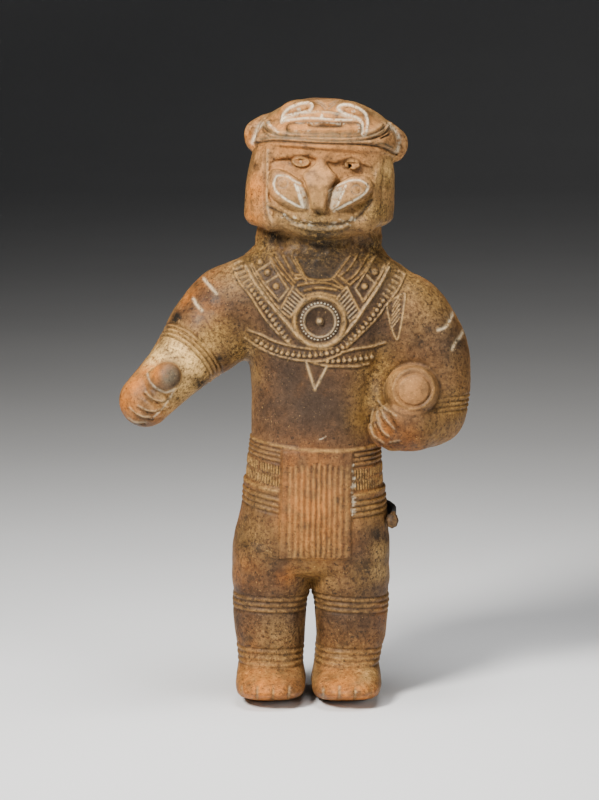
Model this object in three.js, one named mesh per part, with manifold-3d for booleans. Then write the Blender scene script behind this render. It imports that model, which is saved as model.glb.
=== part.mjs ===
// A masked clay figurine: a standing figure that wears an animal mask under an animal-head
// headdress, with a panelled collar, belt, apron and leg bands, modelled and fired in one piece.
// A slim display mount stands behind it: a foot, a post and a clip around one hip.
// Millimetres, +Z up, -Y is the front. "Left" and "right" are as seen from the front.
import * as THREE from "three";
import { mergeVertices } from "three/addons/utils/BufferGeometryUtils.js";
import Module from "manifold-3d";

const wasm = await Module();
wasm.setup();

const { clamp, degToRad, lerp } = THREE.MathUtils;

// The figure is laid out from its midline, which passes between the feet. The reaching arm makes
// the whole wider on the left, and the mount makes it deeper at the back, so the midline stands
// off the middle of the whole.
const MIDLINE = [7.4, -4.1, 0];

// Carving on the front is laid out as a visitor sees it, on an upright sheet through the midline,
// and goes back along the lines of sight to the clay.
const VISITOR_EYE = new THREE.Vector3(-5.8, -1584.4, 361.9);

// How far carving stands out of the clay or sinks into it.
const RIDGE_HEIGHT = 0.55;
const GROOVE_DEPTH = 0.45;
const STRAP_HEIGHT = 1.4;
const LINE_HEIGHT = 1.05;
const APRON_HEIGHT = 2.1;
const APRON_GROOVE_DEPTH = 0.65;
const TOE_GAP_DEPTH = 1.2;

// How finely carving runs along a form.
const APRON_GROOVES = 12;
const STRAP_STEP = 9;

// Flat sides around the round forms.
const BODY_SIDES = 20;
const LEG_SIDES = 14;
const ARM_SIDES = 10;
const HELMET_SIDES = 16;
const HEADDRESS_SIDES = 20;
const NOSE_SIDES = 8;
const DISC_SIDES = 14;

// Stations of the upright forms: height, centre x, half width, centre y, half depth, squareness.
// Squareness 2 is an ellipse, and more is nearer a rectangle.
const TORSO = [
  [57, -0.2, 18, 1, 8, 2],
  [61, -0.4, 32.5, 0, 19.5, 2.2],
  [67, -0.3, 35.6, 0, 24, 2.3],
  [73, -0.1, 36.2, 0, 26, 2.3],
  [80, 0.6, 34.6, 0, 26.4, 2.3],
  [88, 1, 33.6, 0, 26.2, 2.3],
  [98, 1.1, 32.8, 0, 26, 2.3],
  [99.5, 1.1, 31.6, 0, 25, 2.3],
  [118.5, 1.5, 30.3, 0, 23.8, 2.3],
  [120, 1.5, 29.6, 0, 23, 2.3],
  [145, 2.4, 30.3, 0, 23, 2.3],
  [168, 3.3, 34, 0, 24.6, 2.3],
  [180, 3.4, 38.5, 0, 24.6, 2.2],
  [191, 3, 42.7, 0, 23, 2.1],
  [199, 2.5, 40.6, 0.5, 21.3, 2],
  [206, 2.3, 33, 1, 20.3, 2],
  [212, 3, 29, 2, 20, 2],
  [222, 3.4, 28.4, 3, 20, 2],
];
const LEG = [
  [0, 0, 11.5, -1, 12, 2.6],
  [2, 0, 13.8, -3, 17.5, 2.8],
  [5, 0, 15.7, -6, 24.5, 3],
  [8.6, 0, 16.2, -8, 28, 2.9],
  [12, 0, 15.9, -6.6, 25.6, 2.7],
  [16.7, 0, 15.2, -2, 19, 2.5],
  [26, 0, 15.9, 0, 16.8, 2.3],
  [40, 0, 17.1, 0, 18, 2.3],
  [50, 0, 17.9, 0, 19.2, 2.3],
  [57, 0, 18.8, 0, 21, 2.3],
  [65, 0, 18.2, 0, 22.6, 2.3],
  [73, 0, 16.6, 0, 22, 2.3],
];
const HELMET = [
  [4.5, -1, 26, 4, 22, 2.6],
  [6.5, -1, 31.5, 2, 28, 2.8],
  [10, -1, 34, 1, 29.5, 3],
  [18, -1, 34.2, 1, 30, 3],
  [38, -0.8, 31.8, 1, 29, 3],
  [50, 0, 25, 2, 23, 2.4],
];
const HEADDRESS = [
  [37.5, -0.3, 30.5, 0.5, 28.5, 2.3],
  [39, -0.3, 33, 0.5, 31, 2.3],
  [41.2, -0.2, 33.3, 0.5, 31.3, 2.3],
  [42.4, 0, 31.8, 0.5, 29.8, 2.3],
  [43.8, 0, 33, 0.5, 30.8, 2.3],
  [47, 0.2, 32.4, 0.8, 29.8, 2.2],
  [51, 0.4, 30.2, 1.4, 27, 2.2],
  [56, 0.7, 25.4, 2.3, 22, 2.1],
  [60, 1, 18.6, 2.8, 16, 2],
  [62.6, 1, 10, 3, 9, 2],
  [63.2, 1, 4, 3, 4, 2],
];
const NOSE = [
  [14.5, -2.2, 2.6, -26, 8.5, 2],
  [17.2, -2.2, 3.3, -26, 11.2, 2],
  [24, -2.2, 4.6, -25.5, 11.2, 2],
  [30, -2.2, 7.7, -25, 9, 2],
  [33, -2.2, 5.2, -24, 7.6, 2],
  [38.5, -2.2, 2.6, -23, 6, 2],
];

// Where the legs stand, how far each leans out above the ankle, and its first gap between toes.
const LEGS = [
  { x: -19.2, lean: -0.4, toeGap: -12.6 },
  { x: 15.9, lean: 2.4, toeGap: -11.2 },
];
const TOE_PITCH = 7.2;

// The head sits on the neck and dips a little towards the figure's left hand.
const HEAD_BASE = [3.2, 0, 215];
const HEAD_DIP_DEGREES = 4;

// Stations of the limbs: centre and radius.
const LEFT_ARM = [
  [-27, 2, 185, 20],
  [-37.3, 1, 180.3, 21.4],
  [-47, -2, 171.4, 19.6],
  [-54.4, -6, 163.4, 16.4],
  [-64, -13, 153.6, 13.6],
  [-76, -21, 141.9, 12.3],
];
const RIGHT_ARM = [
  [32, 2, 182, 18.6],
  [42.5, 1, 177, 20.6],
  [52.2, 0, 163, 19.6],
  [56, -3, 147, 16.9],
  [54.2, -7, 136, 15.9],
];
const RIGHT_FOREARM = [
  [54.2, -7, 135, 15.4],
  [46.5, -20, 131.5, 12.9],
  [37, -27, 130.8, 10.7],
];

// Grooved bands: where each starts and ends, up a form or as a share of a limb, and its ridges.
const BELT_BANDS = [
  [86.5, 97.5, 4],
  [114, 119, 2],
];
const LEG_BANDS = [
  [17.4, 24.6, 3],
  [42, 50, 3],
];
const LEFT_ARM_BAND = [0.66, 0.75, 3];
const RIGHT_ARM_BAND = [0.83, 0.93, 3];

// Lines of the collar on the front sheet: [across, up].
const LEFT_STRAP = [[-33, 198], [-23, 182.5], [-12, 166.5]];
const RIGHT_STRAP = [[41, 198.5], [23, 177], [3.2, 162.2], [-12, 162.8], [-29, 169.5]];
const INNER_STRAP = [[-30.5, 203], [-16, 182], [3.2, 164.9], [21, 178.8], [41, 202]];
const SIDE_STRAP = [[13.8, 159.5], [32, 162.5]];
const PANEL_LINES = [
  [[-25, 206], [-12.6, 187.5]],
  [[-19, 207], [-7.4, 190.7]],
  [[-14.5, 181], [-8.5, 189.5]],
  [[32.6, 203.5], [20, 187.5]],
  [[26, 204.5], [14.8, 191]],
  [[21.4, 181], [15.6, 190.5]],
];
const PENDANT_LINES = [
  [[-3.3, 157.5], [1.4, 144.3]],
  [[1.4, 144.3], [7.3, 157]],
];
const DISC_CENTRE = [3.8, 175.8];

// The apron's corners on the front sheet.
const APRON_TOP = { left: -14.3, right: 18.8, up: 114.9 };
const APRON_BOTTOM = { left: -15.6, right: 18.2, up: 63.6 };

// The display mount: its foot, its post and the clip's path around the hip.
const MOUNT_FOOT_SIZE = 24;
const MOUNT_FOOT_THICKNESS = 3;
const MOUNT_POST = { x: 16, y: 33, radius: 2.5, top: 90.5 };
const CLIP_THICKNESS = 1.8;
const CLIP_HEIGHT = 7;
const CLIP_STEPS = 9;
const CLIP_PATH = [
  [15.5, 33, 87],
  [22.5, 30, 87],
  [29, 22, 87],
  [34.4, 12, 87],
  [37.4, 3, 86.4],
  [38.2, -3, 85.6],
  [37.4, -9, 84.7],
];
const CLIP_TIP = [36.9, -10.8, 84.6];

const point = (coordinates) => new THREE.Vector3(...coordinates);
const noShift = () => new THREE.Vector3();
const circle = (sides) => Array.from({ length: sides }, (_, i) => (2 * Math.PI * i) / sides);

// Flat-sided rounds are made a little larger, so that their sides straddle the true curve.
const straddle = (sides) => 2 / (1 + Math.cos(Math.PI / sides));

// The point at depth y on the line of sight through a place on the front sheet.
function seenAt(across, up, y) {
  const t = y / VISITOR_EYE.y;
  return new THREE.Vector3(lerp(across, VISITOR_EYE.x, t), y, lerp(up, VISITOR_EYE.z, t));
}

function solid(geometry) {
  geometry.deleteAttribute("normal");
  geometry.deleteAttribute("uv");
  const merged = mergeVertices(geometry, 1e-4);
  return new wasm.Manifold(
    new wasm.Mesh({
      numProp: 3,
      vertProperties: merged.attributes.position.array,
      triVerts: new Uint32Array(merged.index.array),
    }),
  );
}

const joined = (...solids) => solids.reduce((sum, s) => sum.add(s));

// A closed body through rings of equal length, which run counterclockwise seen from the last.
function loft(rings) {
  const sides = rings[0].length;
  const middle = (ring) =>
    ring.reduce((sum, p) => sum.add(p), new THREE.Vector3()).divideScalar(sides);
  const points = [...rings.flat(), middle(rings[0]), middle(rings.at(-1))];
  const start = points.length - 2;
  const end = points.length - 1;
  const last = (rings.length - 1) * sides;
  const faces = [];
  for (let j = 0; j < sides; j++) {
    const k = (j + 1) % sides;
    for (let row = 0; row < last; row += sides) {
      faces.push(row + j, row + k, row + sides + j);
      faces.push(row + k, row + sides + k, row + sides + j);
    }
    faces.push(start, k, j);
    faces.push(end, last + j, last + k);
  }
  return solid(new THREE.BufferGeometry().setFromPoints(points).setIndex(faces));
}

// The level ring of a station, with each point moved by what a function returns for it.
function levelRing([z, x, halfWidth, y, halfDepth, squareness], sides, shift) {
  return circle(sides).map((angle) => {
    const share =
      Math.abs(Math.cos(angle) / halfWidth) ** squareness +
      Math.abs(Math.sin(angle) / halfDepth) ** squareness;
    const reach = straddle(sides) * share ** (-1 / squareness);
    const at = point([x + reach * Math.cos(angle), y + reach * Math.sin(angle), z]);
    return at.add(shift(at));
  });
}

const uprightBody = (stations, sides, shift = noShift) =>
  loft(stations.map((s) => levelRing(s, sides, shift)));

// The station at a height, between those of a list.
function stationAt(stations, z) {
  const i = Math.max(1, stations.findIndex((s) => s[0] >= z));
  const [low, high] = [stations[i - 1], stations[i]];
  const t = (z - low[0]) / (high[0] - low[0]);
  return low.map((v, k) => lerp(v, high[k], t));
}

// Where the front of an upright form is, at a distance across.
function frontOf([, x, halfWidth, y, halfDepth, squareness], across) {
  const side = Math.min(0.98, Math.abs((across - x) / halfWidth));
  return y - halfDepth * (1 - side ** squareness) ** (1 / squareness);
}

// The places and swellings of a band's ridges and of the grooves beside them.
const bandProfile = ([from, to, count]) =>
  Array.from({ length: 2 * count + 1 }, (_, i) => ({
    at: lerp(from, to, i / (2 * count)),
    swell: i % 2 ? RIDGE_HEIGHT : -GROOVE_DEPTH,
  }));

// Puts grooved bands into a list of stations.
function withBands(stations, bands) {
  const kept = stations.filter(([z]) => bands.every(([from, to]) => z < from || z > to));
  const added = bands.flatMap(bandProfile).map(({ at, swell }) => {
    const [z, x, halfWidth, y, halfDepth, squareness] = stationAt(stations, at);
    return [z, x, halfWidth + swell, y, halfDepth + swell, squareness];
  });
  return [...kept, ...added].sort((a, b) => a[0] - b[0]);
}

// A round bar through stations of centre and radius, with domed ends and perhaps a grooved band.
function bar(stations, sides, band = null) {
  const path = new THREE.CatmullRomCurve3(stations.map(([x, y, z]) => point([x, y, z])));
  const spans = stations.length - 1;
  const radiusAt = (t) => {
    const i = Math.min(spans - 1, Math.floor(t * spans));
    return lerp(stations[i][3], stations[i + 1][3], t * spans - i);
  };
  const ring = (t, radius, ahead) => {
    const along = path.getTangent(t);
    const across = new THREE.Vector3(0, 1, 0).cross(along).normalize();
    const up = along.clone().cross(across);
    const centre = path.getPoint(t).addScaledVector(along, ahead);
    const reach = radius * straddle(sides);
    return circle(sides).map((angle) =>
      centre
        .clone()
        .addScaledVector(across, reach * Math.cos(angle))
        .addScaledVector(up, reach * Math.sin(angle)),
    );
  };
  const dome = [62, 30].map(degToRad);
  const end = (t, way) =>
    dome.map((a) => ring(t, radiusAt(t) * Math.cos(a), way * radiusAt(t) * Math.sin(a)));
  let places = stations.map((_, i) => ({ at: i / spans, swell: 0 }));
  if (band) {
    const [from, to] = band;
    const plain = places.filter(({ at }) => at < from || at > to);
    places = [...plain, ...bandProfile(band)].sort((a, b) => a.at - b.at);
  }
  const shaft = places.map(({ at, swell }) => ring(at, radiusAt(at) + swell, 0));
  return loft([...end(0, -1), ...shaft, ...end(1, 1).reverse()]);
}

// A ball stretched to three half sizes, turned in the front view, and moved.
function lump(centre, halfSizes, turnDegrees, sides) {
  const ball = new THREE.SphereGeometry(1, sides, Math.ceil(sides / 2));
  ball.rotateX(Math.PI / 2).scale(...halfSizes);
  ball.rotateY(degToRad(turnDegrees)).translate(...centre);
  return solid(ball);
}

// A turned form whose axis runs from back to front: pairs of y and radius.
const turnedForward = (x, z, profile, sides) =>
  loft(
    profile.map(([y, radius]) =>
      circle(sides).map((a) => point([x + radius * Math.cos(a), y, z + radius * Math.sin(a)])),
    ),
  );

// The belt droops in the middle and dips towards the right, and the body by it a little less.
function beltSag({ x, z }) {
  const amount = clamp(Math.min((z - 72) / 14, (142 - z) / 22), 0, 1);
  return new THREE.Vector3(0, 0, amount * (0.0026 * x ** 2 - 0.065 * x));
}

// The front of the torso at a place on the sheet, raised by a height.
function onChest(across, up, height) {
  let y = -25;
  for (let pass = 0; pass < 3; pass++) {
    const at = seenAt(across, up, y);
    y = frontOf(stationAt(TORSO, at.z - beltSag(at).z), at.x) - height;
  }
  return seenAt(across, up, y);
}

// A strap on the chest through places on the sheet.
function strap(places, width, height) {
  const line = new THREE.CatmullRomCurve3(places.map(([x, z]) => point([x, 0, z])));
  const steps = Math.ceil(line.getLength() / STRAP_STEP);
  const rings = Array.from({ length: steps + 1 }, (_, i) => {
    const at = line.getPoint(i / steps);
    const along = line.getTangent(i / steps).multiplyScalar(width / 2);
    const edge = (share, raised) =>
      onChest(at.x - share * along.z, at.z + share * along.x, raised);
    return [edge(1, -1.5), edge(0.7, height), edge(-0.7, height), edge(-1, -1.5)];
  });
  return loft(rings);
}

// The apron hangs from the belt: a slab with upright grooves that stop short of its ends.
function apron() {
  const edges = 2 * APRON_GROOVES + 2;
  const rings = [0, 0.1, 0.9, 1].map((t) => {
    const left = lerp(APRON_BOTTOM.left, APRON_TOP.left, t);
    const right = lerp(APRON_BOTTOM.right, APRON_TOP.right, t);
    const up = lerp(APRON_BOTTOM.up, APRON_TOP.up, t);
    const depth = t === 0 || t === 1 ? 0 : APRON_GROOVE_DEPTH;
    const front = Array.from({ length: edges + 1 }, (_, i) =>
      onChest(lerp(left, right, i / edges), up, APRON_HEIGHT - (i % 2 ? 0 : depth)),
    );
    return [onChest(right, up, -4), onChest(left, up, -4), ...front];
  });
  return loft(rings);
}

// A leg with its foot, in one form from the sole up into the hip.
function leg({ x, lean, toeGap }) {
  const shift = (p) => {
    const out = lean * clamp((p.z - 17) / 12, 0, 1);
    const together = Math.sign(x) * clamp((p.z - 46) / 6, 0, 1);
    return new THREE.Vector3(x + out - together, 0, 0);
  };
  const gaps = [0, 1, 2, 3].map((i) => {
    const across = toeGap + i * TOE_PITCH;
    const back = frontOf(stationAt(LEG, 8.6), across) + TOE_GAP_DEPTH;
    const wedge = ([z, y]) => [
      point([x + across - 1.1, -42, z]),
      point([x + across + 1.1, -42, z]),
      point([x + across, y, z]),
    ];
    return loft([[3, back + 5], [8.6, back], [14, back + 6.5]].map(wedge));
  });
  const shaft = uprightBody(withBands(LEG, LEG_BANDS), LEG_SIDES, shift);
  return gaps.reduce((made, gap) => made.subtract(gap), shaft);
}

// The disc of the collar: a rim, a dish in it and a boss in the dish.
function collarDisc() {
  const { x, y, z } = onChest(...DISC_CENTRE, 0);
  const profile = [
    [y + 5, 12.4],
    [y - 0.6, 12.4],
    [y - 1.5, 11.4],
    [y - 1.5, 7.6],
    [y - 2, 7],
    [y - 0.4, 5.6],
    [y - 0.2, 1.9],
    [y - 1.3, 1.4],
  ];
  return turnedForward(x, z, profile, DISC_SIDES);
}

function collar() {
  return joined(
    strap(LEFT_STRAP, 5, STRAP_HEIGHT),
    strap(RIGHT_STRAP, 5, STRAP_HEIGHT),
    strap(SIDE_STRAP, 4.5, STRAP_HEIGHT),
    strap(INNER_STRAP, 2.2, LINE_HEIGHT),
    ...PANEL_LINES.map((line) => strap(line, 1.6, LINE_HEIGHT)),
    ...PENDANT_LINES.map((line) => strap(line, 1.4, LINE_HEIGHT)),
    collarDisc(),
  );
}

// The helmet hangs down at the sides of the face in two flaps, cut level with each other.
function helmet() {
  const faceOpening = new THREE.BoxGeometry(47.6, 20, 60).translate(0.4, -32.5, 18);
  const levelled = ({ x, z }) =>
    new THREE.Vector3(0, 0, 0.07 * x * clamp(1 - (z - 6) / 12, 0, 1));
  return uprightBody(HELMET, HELMET_SIDES, levelled).subtract(solid(faceOpening));
}

// The mask: a brow over two eyes, a spearhead nose, a pad on each cheek and a wide jaw.
function mask() {
  const browEdge = [[24.5, -20], [23, -24], [14, -27], [4, -28.4]];
  const browPlan = [
    ...browEdge,
    ...browEdge.map(([x, y]) => [-x, y]).reverse(),
    [-20, -10],
    [20, -10],
  ];
  const browShape = new THREE.Shape(browPlan.map(([x, y]) => new THREE.Vector2(x, y)).reverse());
  const brow = new THREE.ExtrudeGeometry(browShape, { depth: 9, bevelEnabled: false });
  return joined(
    solid(brow.translate(0, 0, 37.2)),
    uprightBody(NOSE, NOSE_SIDES),
    lump([-15.6, -23.5, 22.4], [12.4, 10, 8], 27, 10),
    lump([12.6, -23.5, 22.6], [12.6, 10, 8.2], -27, 10),
    lump([0, -18, 9.5], [18.5, 12.5, 9.5], 0, 10),
    lump([0, -16, 22], [23.5, 9, 18], 0, 8),
    lump([-10.6, -24.4, 35.3], [3.8, 2.4, 2.7], 0, 8),
    lump([11.8, -24.4, 35.3], [3.8, 2.4, 2.7], 0, 8),
  );
}

// The headdress is an animal's head seen from above: a rolled rim that rises to the front,
// rounded ears, bulging eyes and a broad upper lip.
function headdress() {
  const tilt = ({ y, z }) => new THREE.Vector3(0, 0, -0.15 * y * clamp(1 - (z - 38) / 26, 0, 1));
  const ear = (side) =>
    lump([side * 31.2, 1, 44], [6.4, 5.4, 7.8], side * 8, 8).subtract(
      lump([side * 33, -5.5, 44.2], [3.6, 3.4, 5.4], side * 8, 6),
    );
  const lipSection = [
    [-21, 55.6],
    [-25.6, 54.6],
    [-28.4, 53],
    [-30.4, 50.6],
    [-30.9, 48.8],
    [-20, 46],
  ];
  const lipRing = (x) => lipSection.map(([y, z]) => point([x, y, z]));
  const lipEnd = (x) => lipSection.map(([y, z]) => point([x, y + 2.2, lerp(z, 51.4, 0.3)]));
  return joined(
    uprightBody(HEADDRESS, HEADDRESS_SIDES, tilt),
    ear(-1),
    ear(1),
    lump([-27.4, 1, 50.2], [5, 4.6, 4.2], 0, 8),
    lump([27.4, 1, 50.2], [5, 4.6, 4.2], 0, 8),
    lump([-13.6, -11, 58], [9, 8, 4.6], -12, 8),
    lump([11.2, -11, 58.4], [9, 8, 4.6], 16, 8),
    loft([lipEnd(-18.6), lipRing(-16), lipRing(13), lipEnd(15.6)]),
  );
}

function head() {
  const ventHole = new THREE.CylinderGeometry(1.1, 1.1, 8, 8).translate(11, -25, 35.3);
  const mouth = bar(
    [
      [-22, -26, 17.5, 1],
      [-13, -32, 12, 1.2],
      [8, -33, 11.6, 1.2],
      [21, -25, 20, 1],
    ],
    5,
  );
  const lipSlit = bar([[-8, -30, 52, 0.6], [5, -30, 52, 0.6]], 4);
  return joined(helmet(), headdress(), mask())
    .subtract(solid(ventHole))
    .subtract(mouth)
    .subtract(lipSlit)
    .rotate([0, HEAD_DIP_DEGREES, 0])
    .translate(HEAD_BASE);
}

// The left hand is a loose fist around the round end of a short rod.
function leftHand() {
  return joined(
    lump([-69.6, -30, 145], [6.8, 5, 2.7], 42, 8),
    lump([-73.2, -29.5, 141], [6.8, 5, 2.6], 42, 8),
    lump([-77, -28, 137.6], [6.4, 5, 2.5], 42, 8),
    lump([-80.4, -25.5, 135], [5.4, 5, 2.4], 42, 8),
    bar([[-72, -24, 149, 6.4], [-67, -33.5, 153.6, 6.4]], ARM_SIDES),
  );
}

// The right hand curls up around a ball with a raised disc on its front.
function rightHand() {
  const ballProfile = [
    [-5, 8],
    [-15, 11.6],
    [-22, 12.8],
    [-29, 11.8],
    [-33.4, 9],
    [-32.6, 8.2],
    [-34.6, 7.6],
    [-36.6, 3.4],
  ];
  return joined(
    lump([35.2, -35.5, 134.5], [6.6, 4, 2.4], 58, 8),
    lump([33, -35, 131.4], [6.6, 4, 2.3], 60, 8),
    lump([30.6, -33.6, 129], [6.4, 4, 2.3], 62, 8),
    lump([28.4, -31, 127.4], [6, 4, 2.2], 64, 8),
    turnedForward(44.6, 149.4, ballProfile, DISC_SIDES),
  );
}

// The right arm bends in front of the body, and the clay behind its elbow is filled in.
function arms() {
  return joined(
    bar(LEFT_ARM, ARM_SIDES, LEFT_ARM_BAND),
    bar(RIGHT_ARM, ARM_SIDES, RIGHT_ARM_BAND),
    bar(RIGHT_FOREARM, ARM_SIDES),
    lump([35, 0, 163], [15, 15, 27], 0, 8),
  );
}

function figurine() {
  const torso = uprightBody(withBands(TORSO, BELT_BANDS), BODY_SIDES, beltSag);
  return joined(
    torso,
    ...LEGS.map(leg),
    arms(),
    head(),
    collar(),
    apron(),
    leftHand(),
    rightHand(),
  );
}

// The mount: a foot behind the right leg, a post, and a clip that holds the hip and ends in a
// thick tip. It stays a little clear of the clay.
function mount() {
  const { x, y, radius, top } = MOUNT_POST;
  const foot = new THREE.BoxGeometry(MOUNT_FOOT_SIZE, MOUNT_FOOT_SIZE, MOUNT_FOOT_THICKNESS);
  foot.translate(x, y + 3, MOUNT_FOOT_THICKNESS / 2);
  const post = new THREE.CylinderGeometry(radius, radius, top, 10).rotateX(Math.PI / 2);
  post.translate(x, y, top / 2);
  const path = new THREE.CatmullRomCurve3(CLIP_PATH.map(point));
  const clip = Array.from({ length: CLIP_STEPS + 1 }, (_, i) => {
    const at = path.getPoint(i / CLIP_STEPS);
    const along = path.getTangent(i / CLIP_STEPS);
    const across = point([-along.y, along.x, 0]).normalize();
    const corner = (side, level) =>
      at
        .clone()
        .addScaledVector(across, (side * CLIP_THICKNESS) / 2)
        .add(point([0, 0, (level * CLIP_HEIGHT) / 2]));
    return [corner(-1, -1), corner(1, -1), corner(1, 1), corner(-1, 1)];
  });
  return joined(solid(foot), solid(post), loft(clip), lump(CLIP_TIP, [3.1, 2.4, 3.8], 0, 8));
}

function node(name, made, look) {
  const { vertProperties, triVerts } = made.translate(MIDLINE).getMesh();
  const geometry = new THREE.BufferGeometry();
  geometry.setAttribute("position", new THREE.BufferAttribute(vertProperties, 3));
  geometry.setIndex(new THREE.BufferAttribute(triVerts, 1));
  geometry.computeVertexNormals();
  const mesh = new THREE.Mesh(geometry, new THREE.MeshStandardMaterial(look));
  mesh.name = name;
  return mesh;
}

const group = new THREE.Group();
group.add(node("figurine", figurine(), { color: 0x8a6446, roughness: 0.6 }));
group.add(node("mount", mount(), { color: 0x17161a, roughness: 0.45, metalness: 0.6 }));
export default group;
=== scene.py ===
"""A masked clay figurine on its display mount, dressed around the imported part.

The clay is built as a field of distances on a grid, meshed, carved along its normals and
thinned out. Lengths are in millimetres from the figure's midline until the meshes are made.
Left and right are as seen from the front, and the front faces -Y.
"""

import math

import bpy
import numpy as np
import openvdb
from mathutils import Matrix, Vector


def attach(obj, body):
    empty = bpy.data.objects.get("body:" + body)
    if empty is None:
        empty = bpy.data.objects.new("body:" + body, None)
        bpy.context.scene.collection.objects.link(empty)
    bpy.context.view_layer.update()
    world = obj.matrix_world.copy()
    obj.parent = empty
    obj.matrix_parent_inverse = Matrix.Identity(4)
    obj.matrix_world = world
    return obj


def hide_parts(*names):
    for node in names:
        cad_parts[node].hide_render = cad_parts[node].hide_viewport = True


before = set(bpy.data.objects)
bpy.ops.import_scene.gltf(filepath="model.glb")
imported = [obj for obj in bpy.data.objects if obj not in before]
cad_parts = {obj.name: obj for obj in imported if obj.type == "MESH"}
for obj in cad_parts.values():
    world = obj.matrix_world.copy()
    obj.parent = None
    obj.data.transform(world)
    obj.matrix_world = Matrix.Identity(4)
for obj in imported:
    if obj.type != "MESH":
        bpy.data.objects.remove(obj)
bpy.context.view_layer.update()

MM = 0.001
MIDLINE = np.array([7.4, -4.1, 0.0])

# The visitor's eye is the camera's place, and its lens and sensor are in millimetres. Carving on
# the front is laid out as seen from there, on an upright sheet through the midline.
VISITOR_EYE = np.array([-5.8, -1584.4, 361.9])
LOOK_AT = np.array([-5.8, 0.0, 139.2])
LENS = 155.9
SENSOR_WIDTH = 36

# Grid pitch of the clay, how many triangles are kept, and a distance beyond everything.
PITCH = 0.4
TRIANGLES = 196000
FAR = 1000.0

# Stations of the upright forms: height, centre x, half width, centre y, half depth, squareness.
TORSO = [
    [57, -0.2, 18, 1, 8, 2],
    [61, -0.4, 32.5, 0, 19.5, 2.2],
    [67, -0.3, 35.6, 0, 24, 2.3],
    [73, -0.1, 36.2, 0, 26, 2.3],
    [80, 0.6, 34.6, 0, 26.4, 2.3],
    [88, 1, 33.6, 0, 26.2, 2.3],
    [98, 1.1, 32.8, 0, 26, 2.3],
    [99.5, 1.1, 31.6, 0, 25, 2.3],
    [118.5, 1.5, 30.3, 0, 23.8, 2.3],
    [120, 1.5, 29.6, 0, 23, 2.3],
    [145, 2.4, 30.3, 0, 23, 2.3],
    [168, 3.3, 34, 0, 24.6, 2.3],
    [180, 3.4, 38.5, 0, 24.6, 2.2],
    [191, 3, 42.7, 0, 23, 2.1],
    [199, 2.5, 40.6, 0.5, 21.3, 2],
    [206, 2.3, 33, 1, 20.3, 2],
    [212, 3, 29, 2, 20, 2],
    [222, 3.4, 28.4, 3, 20, 2],
]
LEG = [
    [0, 0, 11.5, -1, 12, 2.6],
    [2, 0, 13.8, -3, 17.5, 2.8],
    [5, 0, 15.7, -6, 24.5, 3],
    [8.6, 0, 16.2, -8, 28, 2.9],
    [12, 0, 15.9, -6.6, 25.6, 2.7],
    [16.7, 0, 15.2, -2, 19, 2.5],
    [26, 0, 15.9, 0, 16.8, 2.3],
    [40, 0, 17.1, 0, 18, 2.3],
    [50, 0, 17.9, 0, 19.2, 2.3],
    [57, 0, 18.8, 0, 21, 2.3],
    [65, 0, 18.2, 0, 22.6, 2.3],
    [73, 0, 16.6, 0, 22, 2.3],
    [80, 0, 9, 0, 12, 2.2],
]
HELMET = [
    [4.5, -1, 26, 4, 22, 2.6],
    [6.5, -1, 31.5, 2, 28, 2.8],
    [10, -1, 34, 1, 29.5, 3],
    [18, -1, 34.2, 1, 30, 3],
    [38, -0.8, 31.8, 1, 29, 3],
    [50, 0, 25, 2, 23, 2.4],
]
HEADDRESS = [
    [37.5, -0.3, 30.5, 0.5, 28.5, 2.3],
    [39, -0.3, 33, 0.5, 31, 2.3],
    [43.8, 0, 33, 0.5, 30.8, 2.3],
    [47, 0.2, 32.4, 0.8, 29.8, 2.2],
    [51, 0.4, 30.2, 1.4, 27, 2.2],
    [56, 0.7, 25.4, 2.3, 22, 2.1],
    [60, 1, 18.6, 2.8, 16, 2],
    [62.6, 1, 10, 3, 9, 2],
    [63.2, 1, 4, 3, 4, 2],
]

APRON_FORM = [
    [58, -0.2, 34, 0, 22.5, 2.3],
    [67, -0.3, 36, 0, 26.6, 2.3],
    [74, -0.1, 36.4, 0, 27.8, 2.3],
    [88, 1, 34.4, 0, 27.9, 2.3],
    [98, 1.1, 33.2, 0, 27.4, 2.3],
    [108, 1.3, 32, 0, 26.3, 2.3],
    [119, 1.5, 31, 0, 24.9, 2.3],
]
# The apron's corners as the visitor sees them.
APRON = [(-13.9, 115.6), (18.9, 115.6), (17.9, 64.4), (-15.6, 64.4)]

# Where the legs stand, how far each leans out above the ankle, and its first gap between toes,
# measured from the leg's middle.
LEGS = [
    {"x": -19.2, "lean": -0.4, "toe_gap": -13.4},
    {"x": 15.9, "lean": 2.4, "toe_gap": -10.9},
]
TOE_PITCH = 7.3
TOE_GAPS = 4

# The head sits on the neck and dips a little to the right. Its own frame starts at its base.
# Carving above the neck line is the head's, and below the headdress's rim in it the mask's.
HEAD_BASE = (3.2, 215.0)
HEAD_DIP = math.radians(4)
NECK_LINE = 211.5
HEADDRESS_RIM = 38.5

# Stations of the limbs and of the rod in the left hand: centre and radius.
LEFT_ARM = [
    [-27, 2, 185, 20],
    [-37.3, 1, 180.3, 21.4],
    [-47, -2, 171.4, 19.6],
    [-54.4, -6, 163.4, 16.4],
    [-64, -13, 153.6, 13.6],
    [-75.9, -21, 141.9, 12.1],
]
RIGHT_ARM = [
    [32, 2, 182, 18.6],
    [42.5, 1, 177, 20.6],
    [52.2, 0, 163, 19.6],
    [56, -3, 147, 16.9],
    [54.2, -7, 136, 15.9],
]
RIGHT_FOREARM = [
    [54.2, -7, 135, 15.4],
    [46.5, -20, 131.5, 12.9],
    [37, -27, 130.8, 10.7],
]
ROD = [[-71, -24, 149.6, 6.8], [-65.8, -32.4, 154, 7.1]]

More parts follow.
